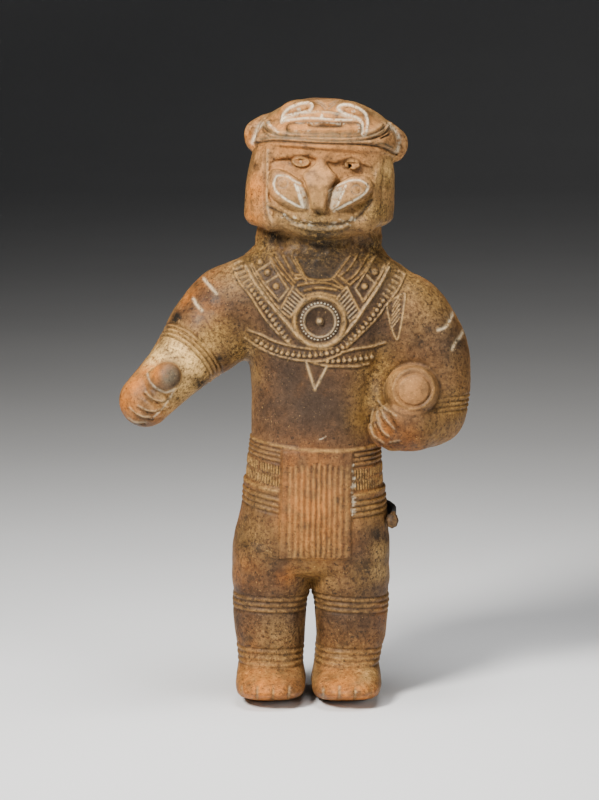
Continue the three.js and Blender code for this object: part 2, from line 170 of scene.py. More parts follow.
# The ball on the right hand, cut flat in front, with a low domed disc. "seen" is its middle and
# "disc_seen" the disc's on the sheet.
BALL = {
    "x": 45.2, "z": 145.8, "radius": 12.6, "middle": -22.0, "flat": -32.6,
    "disc_x": 46.0, "disc_z": 148.2, "disc": 7.2, "front": -33.1,
    "seen": (46.4, 144.2), "disc_seen": (46.9, 144.3),
}

# Grooves of the bands: heights on the legs, the belt and the right arm, and shares of the left
# arm's length.
ANKLE_GROOVES = (17.4, 20.0, 22.6, 25.2)
KNEE_GROOVES = (42.2, 44.8, 47.4, 50.0)
LOWER_BELT_GROOVES = (88.0, 90.6, 93.2, 95.8)
UPPER_BELT_GROOVES = (111.4, 113.6, 115.8, 117.9)
BELT_RIDGES = (98.6, 119.4)
LEFT_ARM_GROOVES = (0.52, 0.55, 0.58, 0.61)
RIGHT_ARM_GROOVES = (136.9, 139.0, 141.1, 143.2)

# Rows of upright ticks on the belt: heights, pitch, and millimetres of belt for each degree.
TICK_ROWS = ((100.4, 105.0), (105.9, 110.3))
TICK_PITCH = 1.5
TICK_ARC = 0.52

# How fast a groove fades with the square of its distance over its width, and the ridge between
# two grooves with the square of its distance over the gap.
GROOVE_FADE = 2.6
RIDGE_FADE = 12.8


def turned(across, up, angle):
    """A place in the front view turned anticlockwise about the origin, by an angle in radians."""
    cos, sin = math.cos(angle), math.sin(angle)
    return across * cos - up * sin, across * sin + up * cos


def to_head(across, up):
    """A place in the front view in the head's own dipped frame."""
    return turned(across - HEAD_BASE[0], up - HEAD_BASE[1], HEAD_DIP)


def from_head(across, up):
    """A place in the head's frame back in the front view."""
    dx, dz = turned(across, up, -HEAD_DIP)
    return HEAD_BASE[0] + dx, HEAD_BASE[1] + dz


def on_sheet(x, y, z):
    """Where the visitor sees a point, on the upright sheet through the midline."""
    t = -VISITOR_EYE[1] / (y - VISITOR_EYE[1])
    return VISITOR_EYE[0] + (x - VISITOR_EYE[0]) * t, VISITOR_EYE[2] + (z - VISITOR_EYE[2]) * t


def smooth_step(value, low, high):
    """From 0 to 1, softly, while a value goes from low to high."""
    t = np.clip((value - low) / (high - low), 0, 1)
    return t * t * (3 - 2 * t)


def smooth_min(a, b, blend):
    """The smaller of two distances, with the crease between them filled."""
    if blend <= 0:
        return np.minimum(a, b)
    share = np.maximum(blend - np.abs(a - b), 0) / blend
    return np.minimum(a, b) - share * share * blend * 0.25


def smooth_max(a, b, blend):
    """The larger of two distances, with the edge between them rounded."""
    return -smooth_min(-a, -b, blend)


def segment_distance(x, y, z, start, end, start_radius, end_radius):
    """Distance to a straight piece of a limb whose radius changes evenly along it."""
    px, py, pz = x - start[0], y - start[1], z - start[2]
    dx, dy, dz = end - start
    t = np.clip((px * dx + py * dy + pz * dz) / (dx * dx + dy * dy + dz * dz), 0, 1)
    away = np.sqrt((px - t * dx) ** 2 + (py - t * dy) ** 2 + (pz - t * dz) ** 2)
    return away - start_radius - t * (end_radius - start_radius)


def curve(points, steps=6, closed=False):
    """A smooth line through points, as a list of close places."""
    p = np.array(points, float)
    if len(p) == 2:
        return p
    if closed:
        p = np.vstack([p[-1], p, p[0], p[1]])
    else:
        p = np.vstack([2 * p[0] - p[1], p, 2 * p[-1] - p[-2]])
    t = (np.arange(steps) / steps)[:, None]
    made = []
    for a, b, c, d in zip(p[:-3], p[1:-2], p[2:-1], p[3:]):
        bent = (2 * a - 5 * b + 4 * c - d) * t**2 + (3 * b - a - 3 * c + d) * t**3
        made.append(0.5 * (2 * b + (c - a) * t + bent))
    if not closed:
        made.append(p[-2:-1])
    return np.vstack(made)


def oval(centre, half_wide, half_high, count=14):
    """Places at even turns around an oval."""
    turns = np.arange(count) * math.tau / count
    return [(centre[0] + half_wide * math.cos(a), centre[1] + half_high * math.sin(a)) for a in turns]


def line_distance(points, u, v, closed=False):
    """Distance from places to a line of straight pieces."""
    ends = np.vstack([points, points[:1]]) if closed else points
    nearest = np.full(np.broadcast(u, v).shape, FAR, np.float32)
    for (ax, ay), (bx, by) in zip(ends[:-1], ends[1:]):
        dx, dy = bx - ax, by - ay
        t = np.clip(((u - ax) * dx + (v - ay) * dy) / max(dx * dx + dy * dy, 1e-9), 0, 1)
        nearest = np.minimum(nearest, np.hypot(u - ax - t * dx, v - ay - t * dy))
    return nearest


def outline_distance(points, u, v):
    """Distance from places to a closed outline, negative inside it."""
    inside = np.zeros(np.broadcast(u, v).shape, bool)
    for (ax, ay), (bx, by) in zip(points, np.roll(points, -1, axis=0)):
        if ay == by:
            continue
        crosses = (ay > v) != (by > v)
        inside ^= crosses & (u < (bx - ax) * (v - ay) / (by - ay) + ax)
    edge = line_distance(points, u, v, closed=True)
    return np.where(inside, -edge, edge)


def stations(table, at):
    """The values of a table of stations at heights, on smooth curves that don't overshoot."""
    table = np.array(table, float)
    height, values = table[:, 0], table[:, 1:]
    gap = np.diff(height)[:, None]
    slope = np.diff(values, axis=0) / gap
    before, after = slope[:-1], slope[1:]
    total = np.where(before * after > 0, before + after, 1)
    inner = np.where(before * after > 0, 2 * before * after / total, 0)
    tangent = np.vstack([slope[:1], inner, slope[-1:]])
    fine = np.linspace(height[0], height[-1], 900)
    i = np.clip(np.searchsorted(height, fine) - 1, 0, len(height) - 2)
    t = ((fine - height[i]) / gap[i, 0])[:, None]
    rows = (
        (2 * t**3 - 3 * t**2 + 1) * values[i]
        + (t**3 - 2 * t**2 + t) * gap[i] * tangent[i]
        + (3 * t**2 - 2 * t**3) * values[i + 1]
        + (t**3 - t**2) * gap[i] * tangent[i + 1]
    )
    return [np.interp(at, fine, rows[:, k]).astype(np.float32) for k in range(rows.shape[1])]


def upright(table, x, y, z):
    """Distance to an upright form given by stations."""
    centre_x, half_x, centre_y, half_y, power = stations(table, z)
    dx, dy = x - centre_x, y - centre_y
    reach = (np.abs(dx / half_x) ** power + np.abs(dy / half_y) ** power) ** (1 / power)
    radius = np.hypot(dx, dy)
    side = radius - radius / np.maximum(reach, 0.01)
    return np.maximum(side, np.maximum(table[0][0] - z, z - table[-1][0]))


def lump(centre, half_sizes, turn_degrees=0.0):
    """A ball stretched to three half sizes and turned in the front view."""
    a, b, c = half_sizes

    def shape(x, y, z):
        dy = y - centre[1]
        along, up = turned(x - centre[0], z - centre[2], math.radians(turn_degrees))
        near = np.sqrt((along / a) ** 2 + (dy / b) ** 2 + (up / c) ** 2)
        steep = np.sqrt((along / a**2) ** 2 + (dy / b**2) ** 2 + (up / c**2) ** 2)
        return near * (near - 1) / np.maximum(steep, 1e-6)

    return shape


def in_head(shape):
    """A shape given in the head's frame."""

    def placed(x, y, z):
        across, up = to_head(x, z)
        return shape(across, y, up)

    return placed


def plate(outline, front, rounding, back=-8.0):
    """A slab on the face: an outline as the visitor sees it, and the depth of its front."""
    edge_line = curve(outline, 5, closed=True)

    def shape(x, y, z):
        across, up = to_head(*on_sheet(x, y, z))
        edge = outline_distance(edge_line, across, up)
        faced = smooth_max(edge, front(across, up) - y, rounding)
        return np.maximum(faced, y - back)

    return shape


def limb_path(limb, steps=5):
    """Close places along a limb, with its radius at each."""
    limb = np.array(limb, float)
    places = curve(limb[:, :3], steps)
    if len(limb) == 2:
        return places, limb[:, 3]
    radii = np.interp(np.linspace(0, len(limb) - 1, len(places)), np.arange(len(limb)), limb[:, 3])
    return places, radii


class Clay:
    """A field of distances on a grid of millimetres, negative inside the clay."""

    def __init__(self, low, high, pitch):
        self.low = np.array(low, np.float32)
        self.pitch = pitch
        count = np.ceil((np.array(high) - self.low) / pitch).astype(int) + 1
        self.field = np.full(count, FAR, np.float32)

    def window(self, low, high):
        """The grid's slices inside a box, and the places along its axes."""
        size = self.field.shape
        start = np.clip(((np.array(low) - self.low) / self.pitch).astype(int), 0, size)
        stop = np.clip(((np.array(high) - self.low) / self.pitch).astype(int) + 2, 0, size)
        axes = [
            self.low[i] + self.pitch * np.arange(start[i], stop[i], dtype=np.float32)
            for i in range(3)
        ]
        x, y, z = np.meshgrid(*axes, indexing="ij", sparse=True)
        return tuple(slice(a, b) for a, b in zip(start, stop)), x, y, z

    def add(self, low, high, shape, blend=1.0):
        """A shape added within a box, with the crease between them filled."""
        part, x, y, z = self.window(low, high)
        self.field[part] = smooth_min(self.field[part], shape(x, y, z), blend)

    def cut(self, low, high, shape, blend=0.6):
        """A shape cut out within a box, with the edge rounded."""
        part, x, y, z = self.window(low, high)
        self.field[part] = smooth_max(self.field[part], -shape(x, y, z), blend)

    def add_lump(self, centre, half_sizes, turn=0.0, blend=1.0, head=False):
        """A lump added, placed in the head's frame if head is set."""
        shape = lump(centre, half_sizes, turn)
        reach = max(half_sizes) + 2 * blend + 2
        middle = np.array(centre, float)
        if head:
            shape = in_head(shape)
            middle[0], middle[2] = from_head(centre[0], centre[2])
        self.add(middle - reach, middle + reach, shape, blend)

    def add_head_lumps(self, lumps):
        for centre, half_sizes, turn, blend in lumps:
            self.add_lump(centre, half_sizes, turn, blend, head=True)

    def add_limb(self, limb, blend):
        """A limb added along its stations."""
        places, radii = limb_path(limb)
        reach = radii.max() + 2 * blend + 2
        part, x, y, z = self.window(places.min(0) - reach, places.max(0) + reach)
        axes = [x.ravel(), y.ravel(), z.ravel()]
        nearest = np.full(self.field[part].shape, FAR, np.float32)
        for a, b, ra, rb in zip(places[:-1], places[1:], radii[:-1], radii[1:]):
            low, high = np.minimum(a, b) - reach, np.maximum(a, b) + reach
            box = tuple(slice(*np.searchsorted(axes[i], [low[i], high[i]])) for i in range(3))
            places_near = x[box[0]], y[:, box[1]], z[:, :, box[2]]
            nearest[box] = np.minimum(nearest[box], segment_distance(*places_near, a, b, ra, rb))
        self.field[part] = smooth_min(self.field[part], nearest, blend)

    def mesh_arrays(self):
        """The clay's surface as points, triangles and quads."""
        limit = 3 * self.pitch
        grid = openvdb.FloatGrid(limit)
        grid.copyFromArray(np.clip(self.field, -limit, limit))
        points, triangles, quads = grid.convertToPolygons(0.0, 0.0)
        return self.low + np.array(points, np.float32) * self.pitch, triangles, quads


def belt_sag(x, z):
    """How far the belt droops at the sides and dips to the right."""
    amount = np.clip(np.minimum((z - 72) / 14, (142 - z) / 22), 0, 1)
    return amount * (0.0026 * x**2 - 0.065 * x)


def leg_centre(leg, z):
    """Where the middle of a leg is at a height."""
    out = leg["lean"] * np.clip((z - 17) / 12, 0, 1)
    together = math.copysign(1, leg["x"]) * np.clip((z - 46) / 6, 0, 1)
    return leg["x"] + out - together


def toe_gaps(leg):
    """Where the gaps between a foot's toes are, across."""
    return [leg["x"] + leg["toe_gap"] + k * TOE_PITCH for k in range(TOE_GAPS)]


# Outlines on the face in the head's frame: across and up, as the visitor sees them.
FACE_OPENING = [
    (-24.6, 47), (-25, 30), (-24.8, 19), (-23.6, 11), (-20.5, 4), (-17, -6), (14.5, -7), (17, 2),
    (20.6, 9), (22.8, 17), (23.2, 28), (23.4, 47),
]
BROW = [
    (-24.4, 32.6), (-21.5, 33.6), (-17, 34.4), (-12.4, 35.2), (-8.5, 35.9), (-5, 35.2), (-3, 35.4),
    (-1.2, 35.6), (0.6, 35.0), (1.9, 34.2), (4.8, 33.9), (7.6, 34.7), (10.4, 35.6), (15, 35),
    (19.2, 33.5), (22.6, 33.2), (23.4, 47), (-24.4, 47),
]
NOSE = [
    (-3.2, 39.6), (-3, 36.4), (-4.2, 33.1), (-9.4, 28), (-8.2, 24.2), (-6.2, 19.8), (-5, 15.2),
    (-4.4, 12.1), (-1.4, 11.6), (1.6, 12.3), (2.1, 16.9), (3.7, 22.7), (6.2, 27.9), (4, 30.4),
    (1.2, 33.5), (0.2, 36.4), (0.6, 39.6),
]
LEFT_PAD = [
    (-25.2, 25.9), (-24.3, 28.4), (-21.7, 29.6), (-17.7, 29), (-13, 26.7), (-9.1, 24.4), (-6.8, 20.9),
    (-5.3, 16.4), (-4.9, 11.8), (-7.2, 9.9), (-11.8, 10.7), (-17.8, 13.2), (-22.6, 16.3), (-25, 20.7),
]
RIGHT_PAD = [
    (2.5, 17.5), (3.4, 21.8), (7.2, 25.2), (11.1, 27.8), (15.6, 29), (20.2, 28.8), (22.9, 26),
    (23, 22.9), (19.7, 19.3), (15.3, 16.1), (10.4, 13.4), (5.4, 10.8), (2.3, 11.6),
]


# How far forward the plates of the face stand, across and up them. The brow and the nose curve back
# to their sides and the pads all round. The nose also runs back into the brow above the eyes.
def brow_front(across, up):
    return -28.6 + 0.0098 * across**2


def left_pad_front(across, up):
    return -32.6 + 0.02 * ((across + 14.5) ** 2 + (up - 19.5) ** 2)


def right_pad_front(across, up):
    return -32.6 + 0.02 * ((across - 12.4) ** 2 + (up - 19.8) ** 2)


def nose_front(across, up):
    return -28.7 - 5.4 * smooth_step(up, 37, 22) + 0.022 * (across + 1.6) ** 2


# Lumps in the head's frame: centre, half sizes, turn in degrees and blend. The face lies under the
# mask's plates, the ears and crests on the headdress, and the eyes in the face.
FACE_LUMPS = [
    ((-0.5, -18, 10.2), (21, 12.2, 10.4), 0, 3),
    ((0, -16, 22), (24.5, 9, 18), 0, 3),
    ((0, -16, 31), (25, 10.6, 11), 0, 3),
    ((-19.5, -18, 13), (6, 8, 9), -12, 3),
    ((19.5, -18, 13), (6, 8, 9), 12, 3),
    ((-22.4, -19.5, 10), (5, 7.2, 7.5), 0, 3),
    ((21.4, -19.5, 15), (5, 7.2, 9.5), 0, 3),
]
EAR_LUMPS = [
    ((-31.2, 1, 44), (6.4, 5.4, 7.8), -8, 0.8),
    ((-27.4, 1, 50.2), (5, 4.6, 4.2), 0, 2.5),
    ((31.2, 1, 44), (6.4, 5.4, 7.8), 8, 0.8),
    ((27.4, 1, 50.2), (5, 4.6, 4.2), 0, 2.5),
]
EAR_HOLLOWS = [
    ((-33, -5.3, 44.2), (3.4, 3.2, 5.6), -8),
    ((33, -5.3, 44.2), (3.4, 3.2, 5.6), 8),
]
CREST_LUMPS = [
    ((-13.6, -11, 57.6), (9, 8, 4.6), -12, 3),
    ((11.2, -11, 58), (9, 8, 4.6), 16, 3),
]
EYE_LUMPS = [
    ((-10.6, -24.6, 34.6), (4.2, 2.0, 2.1), 0, 1.6),
    ((12.4, -24.6, 34.8), (3.3, 2.0, 1.9), 0, 1.6),
]
MOUTH_PATH = [
    (-20, -27.2, 10.8), (-16, -29, 9.2), (-8, -30.6, 6.8), (1, -31.2, 6.2), (10, -30.6, 7.2),
    (15, -29, 9.6), (19, -27.2, 12.6),
]
MOUTH_RADIUS = 1.5
VENT = {"across": 11.2, "up": 34.9, "radius": 1.15, "middle": -24, "half_length": 6}


def build_head(clay):
    """The helmet with its flaps, the mask in its opening and the headdress over it."""
    low, high = np.array([-42, -42, 207]), np.array([48, 33, 280])
    face_low, face_high = np.array([-26, -42, 207]), np.array([34, -4, 264])

    def helmet(x, y, z):
        level = z - 0.07 * x * np.clip(1 - (z - 6) / 12, 0, 1)
        return upright(HELMET, x, y, level)

    def headdress(x, y, z):
        tilt = -0.15 * y * np.clip(1 - (z - 38) / 26, 0, 1)
        return upright(HEADDRESS, x, y, z - tilt)

    def opening(x, y, z):
        across, up = to_head(*on_sheet(x, y, z))
        edge = outline_distance(curve(FACE_OPENING, 4, closed=True), across, up)
        return smooth_max(edge, y + 22.5, 1.5)

    head = Clay(low, high, clay.pitch)
    head.add(low, high, in_head(helmet), 0)
    head.cut(low, (high[0], -16, high[2]), opening, 1.2)
    head.add(face_low, face_high, plate(BROW, brow_front, 2.2), 0.8)
    head.add_head_lumps(FACE_LUMPS)
    head.add(face_low, face_high, plate(LEFT_PAD, left_pad_front, 3.6), 0.9)
    head.add(face_low, face_high, plate(RIGHT_PAD, right_pad_front, 3.6), 0.9)
    head.add(face_low, face_high, plate(NOSE, nose_front, 1.6), 1.2)
    head.add(low, high, in_head(headdress), 0.6)
    head.add_head_lumps(EAR_LUMPS)
    for hollow in EAR_HOLLOWS:
        head.cut(low, high, in_head(lump(*hollow)), 1)
    head.add_head_lumps(CREST_LUMPS)
    cut_mouth(head)
    cut_vent(head)
    head.add_head_lumps(EYE_LUMPS)
    cut_vent(head)
    return head


def cut_mouth(head):
    """The wide grin under the pads."""
    path = []
    for across, depth, up in MOUTH_PATH:
        x, z = from_head(across, up)
        path.append((x, depth, z))
    path = curve(path, 4)

    def mouth(x, y, z):
        nearest = FAR
        for start, end in zip(path[:-1], path[1:]):
            away = segment_distance(x, y, z, start, end, MOUTH_RADIUS, MOUTH_RADIUS)
            nearest = np.minimum(nearest, away)
        return nearest

    head.cut((-26, -40, 212), (34, -10, 240), mouth, 1.2)


def cut_vent(head):
    """The round vent hole in the right eye."""

    def vent(x, y, z):
        side = np.hypot(x - VENT["across"], z - VENT["up"]) - VENT["radius"]
        return np.maximum(side, np.abs(y - VENT["middle"]) - VENT["half_length"])

    head.cut((8, -40, 244), (24, -14, 258), in_head(vent), 0.3)


def torso(x, y, z):
    """The body under the head, drooping with the belt."""
    return upright(TORSO, x, y, z - belt_sag(x, z))


def legs(x, y, z):
    """Both legs, grown together at the top."""
    left, right = (upright(LEG, x - leg_centre(leg, z), y, z) for leg in LEGS)
    return smooth_min(left, right, 0.8)


def apron(x, y, z):
    """A flat cloth that hangs down the front, as thick as its height over the body."""
    edge = outline_distance(np.array(APRON, float), *on_sheet(x, y, z))
    over = upright(APRON_FORM, x, y, z - belt_sag(x, z))
    return np.maximum(smooth_max(edge, over, 1.2), y + 8)


def build_body(clay):
    """The torso, legs, apron and arms, with clay filled in at the right armpit."""
    clay.add((-46, -32, 54), (52, 32, 224), torso, 0)
    clay.add((-46, -42, 0), (46, 30, 84), legs, 3.5)
    clay.add((-24, -33, 58), (26, 0, 122), apron, 0.5)
    clay.add_limb(LEFT_ARM, 6)
    clay.add_limb(RIGHT_ARM, 5)
    clay.add_limb(RIGHT_FOREARM, 4)
    clay.add_lump((35, 0, 163), (15, 15, 27), 0, 6)
    clay.add_lump((30.5, -8.5, 141), (6.5, 10, 13), 0, 4)


# Fingers of the left and the right hand: centre, half sizes and turn in degrees.
FINGERS = [
    ((-69.6, -30, 145), (6.8, 5, 2.9), 42),
    ((-73.2, -29.5, 141), (6.8, 5, 2.8), 42),
    ((-77, -28, 137.6), (6.4, 5, 2.7), 42),
    ((-80.4, -25.5, 135), (5.4, 5, 2.6), 42),
    ((35.2, -35.5, 134.5), (6.6, 4, 2.5), 58),
    ((33, -35, 131.4), (6.6, 4, 2.4), 60),
    ((30.6, -33.6, 129), (6.4, 4, 2.4), 62),
    ((28.4, -31, 127.4), (6, 4, 2.3), 64),
]


def build_hands(clay):
    """Fingers around a rod on the left, and under a ball with a domed disc on the right."""
    for centre, half_sizes, turn in FINGERS:
        clay.add_lump(centre, half_sizes, turn, 0.9)
    clay.add_limb(ROD, 0.8)
    x0, z0, middle = BALL["x"], BALL["z"], BALL["middle"]

    def ball(x, y, z):
        radius = np.hypot(x - x0, z - z0)
        stretched = (y - middle) * np.where(y < middle, 0.98, 0.72)
        body = np.hypot(radius, stretched) - BALL["radius"]
        spread = np.hypot(x - BALL["disc_x"], z - BALL["disc_z"])
        disc = smooth_max(spread - BALL["disc"], BALL["front"] + 0.022 * spread**2 - y, 1.2)
        rolled = smooth_max(body, BALL["flat"] + 0.004 * radius**2 - y, 2.0)
        return smooth_min(rolled, np.maximum(disc, y - middle), 0.4)

    clay.add((28, -42, 132), (62, 2, 168), ball, 0.9)


def build_clay():
    """The whole figure, cut off flat at the ground."""
    low, high = (-90, -42, -1), (75, 34, 281)
    clay = Clay(low, high, PITCH)
    build_body(clay)
    head = build_head(clay)
    start = np.rint((head.low - clay.low) / clay.pitch).astype(int)
    part = tuple(slice(a, a + n) for a, n in zip(start, head.field.shape))
    clay.field[part] = smooth_min(clay.field[part], head.field, 1.0)
    build_hands(clay)
    part, x, y, z = clay.window(low, (high[0], high[1], 4))
    clay.field[part] = np.maximum(clay.field[part], -z)
    return clay


class Relief:
    """Carving on the skin: how far each place is raised or sunk, and the colour painted in it, dark
    being mostly painted shade.
    """

    def __init__(self, u, v, facing):
        self.u, self.v, self.facing = u, v, facing
        self.level, self.raised, self.sunk = np.zeros((3, len(u)), np.float32)
        self.pale, self.dark, self.tan = np.zeros((3, len(u)), np.float32)
        self.seen = np.flatnonzero(facing > 0)

    def near(self, line, reach):
        """Which of the places that count lie in the box around a line."""
        low, high = line.min(0) - reach, line.max(0) + reach
        u, v = self.u[self.seen], self.v[self.seen]
        return self.seen[(u > low[0]) & (u < high[0]) & (v > low[1]) & (v < high[1])]

    def press(self, at, amount, height, pale=0.0, dark=0.0, tan=0.0):
        """Raises or sinks places by a share of a height, and paints colour in them, dark being mostly
        painted shade.
        """
        amount = amount * self.facing[at]
        if height >= 0:
            self.raised[at] = np.maximum(self.raised[at], amount * height)
        else:
            self.sunk[at] = np.minimum(self.sunk[at], amount * height)
        self.pale[at] = np.maximum(self.pale[at], amount * pale)
        self.dark[at] = np.maximum(self.dark[at], amount * dark)
        self.tan[at] = np.maximum(self.tan[at], amount * tan)

    def stroke(self, points, width, height, pale=0.0, dark=0.0, tan=0.0, closed=False, straight=False):
        """A groove or a raised line with soft flanks, and its width where it is half as high."""
        line = np.array(points, float) if straight else curve(points, 5, closed)
        at = self.near(line, 1.2 * width)
        away = line_distance(line, self.u[at], self.v[at], closed)
        self.press(at, in_groove(away, width), height, pale, dark, tan)

    def dot(self, centre, radius, height, pale=0.0, dark=0.0, tan=0.0):
        """A round boss or pit."""
        centre = np.array([centre], float)
        at = self.near(centre, radius)
        away = np.hypot(self.u[at] - centre[0, 0], self.v[at] - centre[0, 1]) / radius
        self.press(at, np.clip(1 - away**2, 0, 1) ** 0.7, height, pale, dark, tan)

    def ring(self, centre, radius, width, height, pale=0.0, dark=0.0, tan=0.0):
        """A round groove or raised line."""
        middle = np.array([centre], float)
        at = self.near(middle, radius + 1.5 * width)
        away = np.hypot(self.u[at] - centre[0], self.v[at] - centre[1]) - radius
        self.press(at, in_groove(away, width), height, pale, dark, tan)

    def area(self, outline, height, edge=0.8, smooth=True, pale=0.0, dark=0.0):
        """An outline that is lifted or sunk as a whole, under the lines on it."""
        line = curve(outline, 5, closed=True) if smooth else np.array(outline, float)
        at = self.near(line, edge)
        inside = outline_distance(line, self.u[at], self.v[at])
        amount = (1 - smooth_step(inside, -edge, edge)) * self.facing[at]
        self.level[at] += amount * height
        self.pale[at] = np.maximum(self.pale[at], amount * pale)
        self.dark[at] = np.maximum(self.dark[at], amount * dark)

    def height(self):
        return self.level + self.raised + self.sunk


def beads(points, pitch):
    """Places at an even pitch along a smooth line, with the line's direction at each."""
    line = curve(points, 8)
    steps = np.hypot(*np.diff(line, axis=0).T)
    along = np.concatenate([[0], np.cumsum(steps)])
    count = max(int(round(along[-1] / pitch)), 1)
    at = np.linspace(0, along[-1], count + 1)
    places = np.stack([np.interp(at, along, line[:, i]) for i in range(2)], axis=1)
    ahead = np.stack([np.interp(at + 0.3, along, line[:, i]) for i in range(2)], axis=1)
    behind = np.stack([np.interp(at - 0.3, along, line[:, i]) for i in range(2)], axis=1)
    way = (ahead - behind) / np.maximum(np.hypot(*(ahead - behind).T)[:, None], 1e-6)
    return places, way


# The collar's lines on the sheet, in millimetres: across from the midline, and up.
DISC = (3.5, 175.7)
LEFT_BORDERS = [
    [(-36.3, 200.6), (-33.7, 194.3), (-28.6, 187.9), (-22.8, 178.7), (-17.1, 171.7), (-10.2, 165.1)],
    [(-28.5, 201.8), (-24.5, 194.3), (-19.4, 186.8), (-14.8, 181)],
    [(-27.7, 202.4), (-22.8, 194.3), (-15.3, 185.1)],
    [(-19.3, 204.1), (-15.3, 197.2), (-11, 190.8)],
]
RIGHT_BORDERS = [
    [(42.7, 197.2), (39.8, 190.8), (34.7, 183.9), (28.9, 176.4), (23.2, 170.6), (16, 163.6)],
    [(35.2, 202.4), (28.9, 193.1), (23.7, 184.8)],
    [(28.9, 205.8), (24.3, 197.8), (20, 191.1)],
    [(33.4, 201.6), (30.4, 194.6), (24, 185.2)],
]
INNER_BORDER = [
    (-30.5, 201.2), (-26.8, 194.3), (-21.1, 186.2), (-15.9, 179.9), (-11.3, 174.6), (-6.1, 168.3),
    (-1, 164.9), (3.6, 164.1), (8.3, 164.7), (12.9, 167.7), (18.6, 174.1), (24.9, 183.3), (31.8, 193.7),
    (35.2, 200.6),
]
LEFT_BEADS = [
    (-34.3, 203), (-32.8, 199.5), (-31.1, 195.7), (-28.5, 191.7), (-25.7, 187.9), (-22.8, 183.6),
    (-19.9, 179.6), (-17.1, 175.2), (-13.9, 170.6), (-10.8, 166.6),
]
RIGHT_BEADS = [
    (41.2, 198.3), (38.7, 194.3), (35.2, 189.1), (31.8, 184.5), (28.9, 180.1), (25.5, 175.8),
    (22.1, 171.7), (18.6, 168.3), (14.6, 164.2), (10, 161.9), (6, 161), (0.2, 160.1), (-5.6, 160.1),
    (-11.3, 161), (-15.4, 161.9), (-18.8, 163.3), (-21.7, 164.8), (-25.4, 167),
]
SIDE_BEADS = [(7.1, 157.5), (13, 157.7), (20, 158.3), (27.6, 159.6)]
# The straps of beads: their line, the beads' pitch, and the height above which they are slanted.
STRAPS = [(LEFT_BEADS, 2.45, 192), (RIGHT_BEADS, 2.6, 186), (SIDE_BEADS, 2.6, FAR)]
DISC_BEADS = 34
CHEST_ARCS = [
    [
        (-29.2, 171.7), (-24, 169.7), (-17.1, 166.5), (-10.2, 164.5), (-2.7, 163.2), (4.8, 162.9),
        (9.4, 163.6),
    ],
    [
        (-30.6, 168), (-25.1, 164.2), (-18.2, 160.7), (-10.2, 158.4), (-3.3, 157.5), (3.6, 157.2),
        (8.8, 158.7), (13.4, 160.7),
    ],
    [(13.4, 161.3), (20.3, 163), (27.8, 164.2), (33.6, 165.9)],
    [(-0.4, 156.9), (6, 155.2), (12.9, 154.9), (20.4, 154.9), (26.1, 156.1)],
]
PENDANT = [[(-2.7, 156.9), (1.4, 143.9)], [(7.1, 155.2), (1.4, 143.9)]]
BOX_BARS = [
    [(-25, 199.2), (-18.6, 203.4)], [(-21.1, 193.7), (-15.2, 197.4)], [(-15.3, 185.1), (-11, 190.8)],
    [(24.9, 197.5), (28.6, 193.5)], [(20, 191.1), (23.7, 184.8)],
]
BOX_DOTS = [(-24.1, 203.5), (-20.5, 198.3), (-16.6, 192), (28.9, 198.6), (24.2, 192)]
NECK_LINES = [
    [(-19.3, 205.5), (-14.5, 198.6), (-8.6, 192.3)], [(-17, 206.1), (-12.6, 199.4), (-7.9, 193.6)],
    [(-13.6, 206.7), (-10.2, 200.1), (-6.6, 195.2)], [(-9.6, 205.8), (-5.6, 198.9), (-2.7, 194.6)],
    [(29.4, 206.4), (23.1, 197.8), (17.4, 192.6)], [(26, 206.7), (20.3, 197.8), (15.1, 193.7)],
    [(20.8, 206.4), (17.4, 200.6), (13.4, 197.2)], [(17.4, 205.8), (10.5, 196.6)],
]
SMALL_BARS = [
    [(-8.6, 197.1), (-3.3, 197.4)], [(-7.9, 195.3), (-3.3, 195.7)],
    [(9.9, 194.9), (15.1, 190.9)], [(11.7, 197.2), (16.8, 193.1)],
]
THROAT_ARCS = [
    [(-6.4, 192.3), (-2.1, 193.3), (3.4, 193.8), (8.8, 193), (13.7, 190.9)],
    [(-3.3, 190.1), (3.6, 191.3), (11.1, 190.3)],
    [(-3.3, 187.6), (3.5, 188.9), (10.8, 187.2)],
]
NECKLINE = [(-7.9, 205.3), (-3.3, 196.8), (0.2, 195), (5.3, 194.9), (9.9, 196), (16.8, 205.3)]
HATCHED = [
    [(-14.8, 181), (-8.7, 191.7), (-3.3, 186.8), (-10.2, 177.5)],
    [(22, 180.1), (16, 191.7), (11.4, 186.2), (17.4, 175.8)],
]
FEATHER = [
    (34.7, 183.6), (38.7, 186.8), (42.7, 188.5), (42.2, 182.2), (41, 174.1), (39.3, 167.1), (37, 171.7),
    (35.3, 177.5),
]
COLLAR_FIELD = [
    (-33, 205), (-27, 188), (-14, 169), (0, 159), (12, 159), (26, 172), (40, 192), (40, 205), (16, 208),
    (-10, 208),
]
SHOULDER_STROKES = [
    [(-54.5, 186.1), (-52.9, 183.3), (-50.7, 180.8)], [(-49.8, 195.5), (-44, 188.7)],
    [(65.2, 181.5), (63.6, 177), (61.2, 173.2), (57.8, 171.8)],
    [(69.9, 171.8), (67.8, 168.2), (65.4, 165.4), (64.6, 162.8)],
]


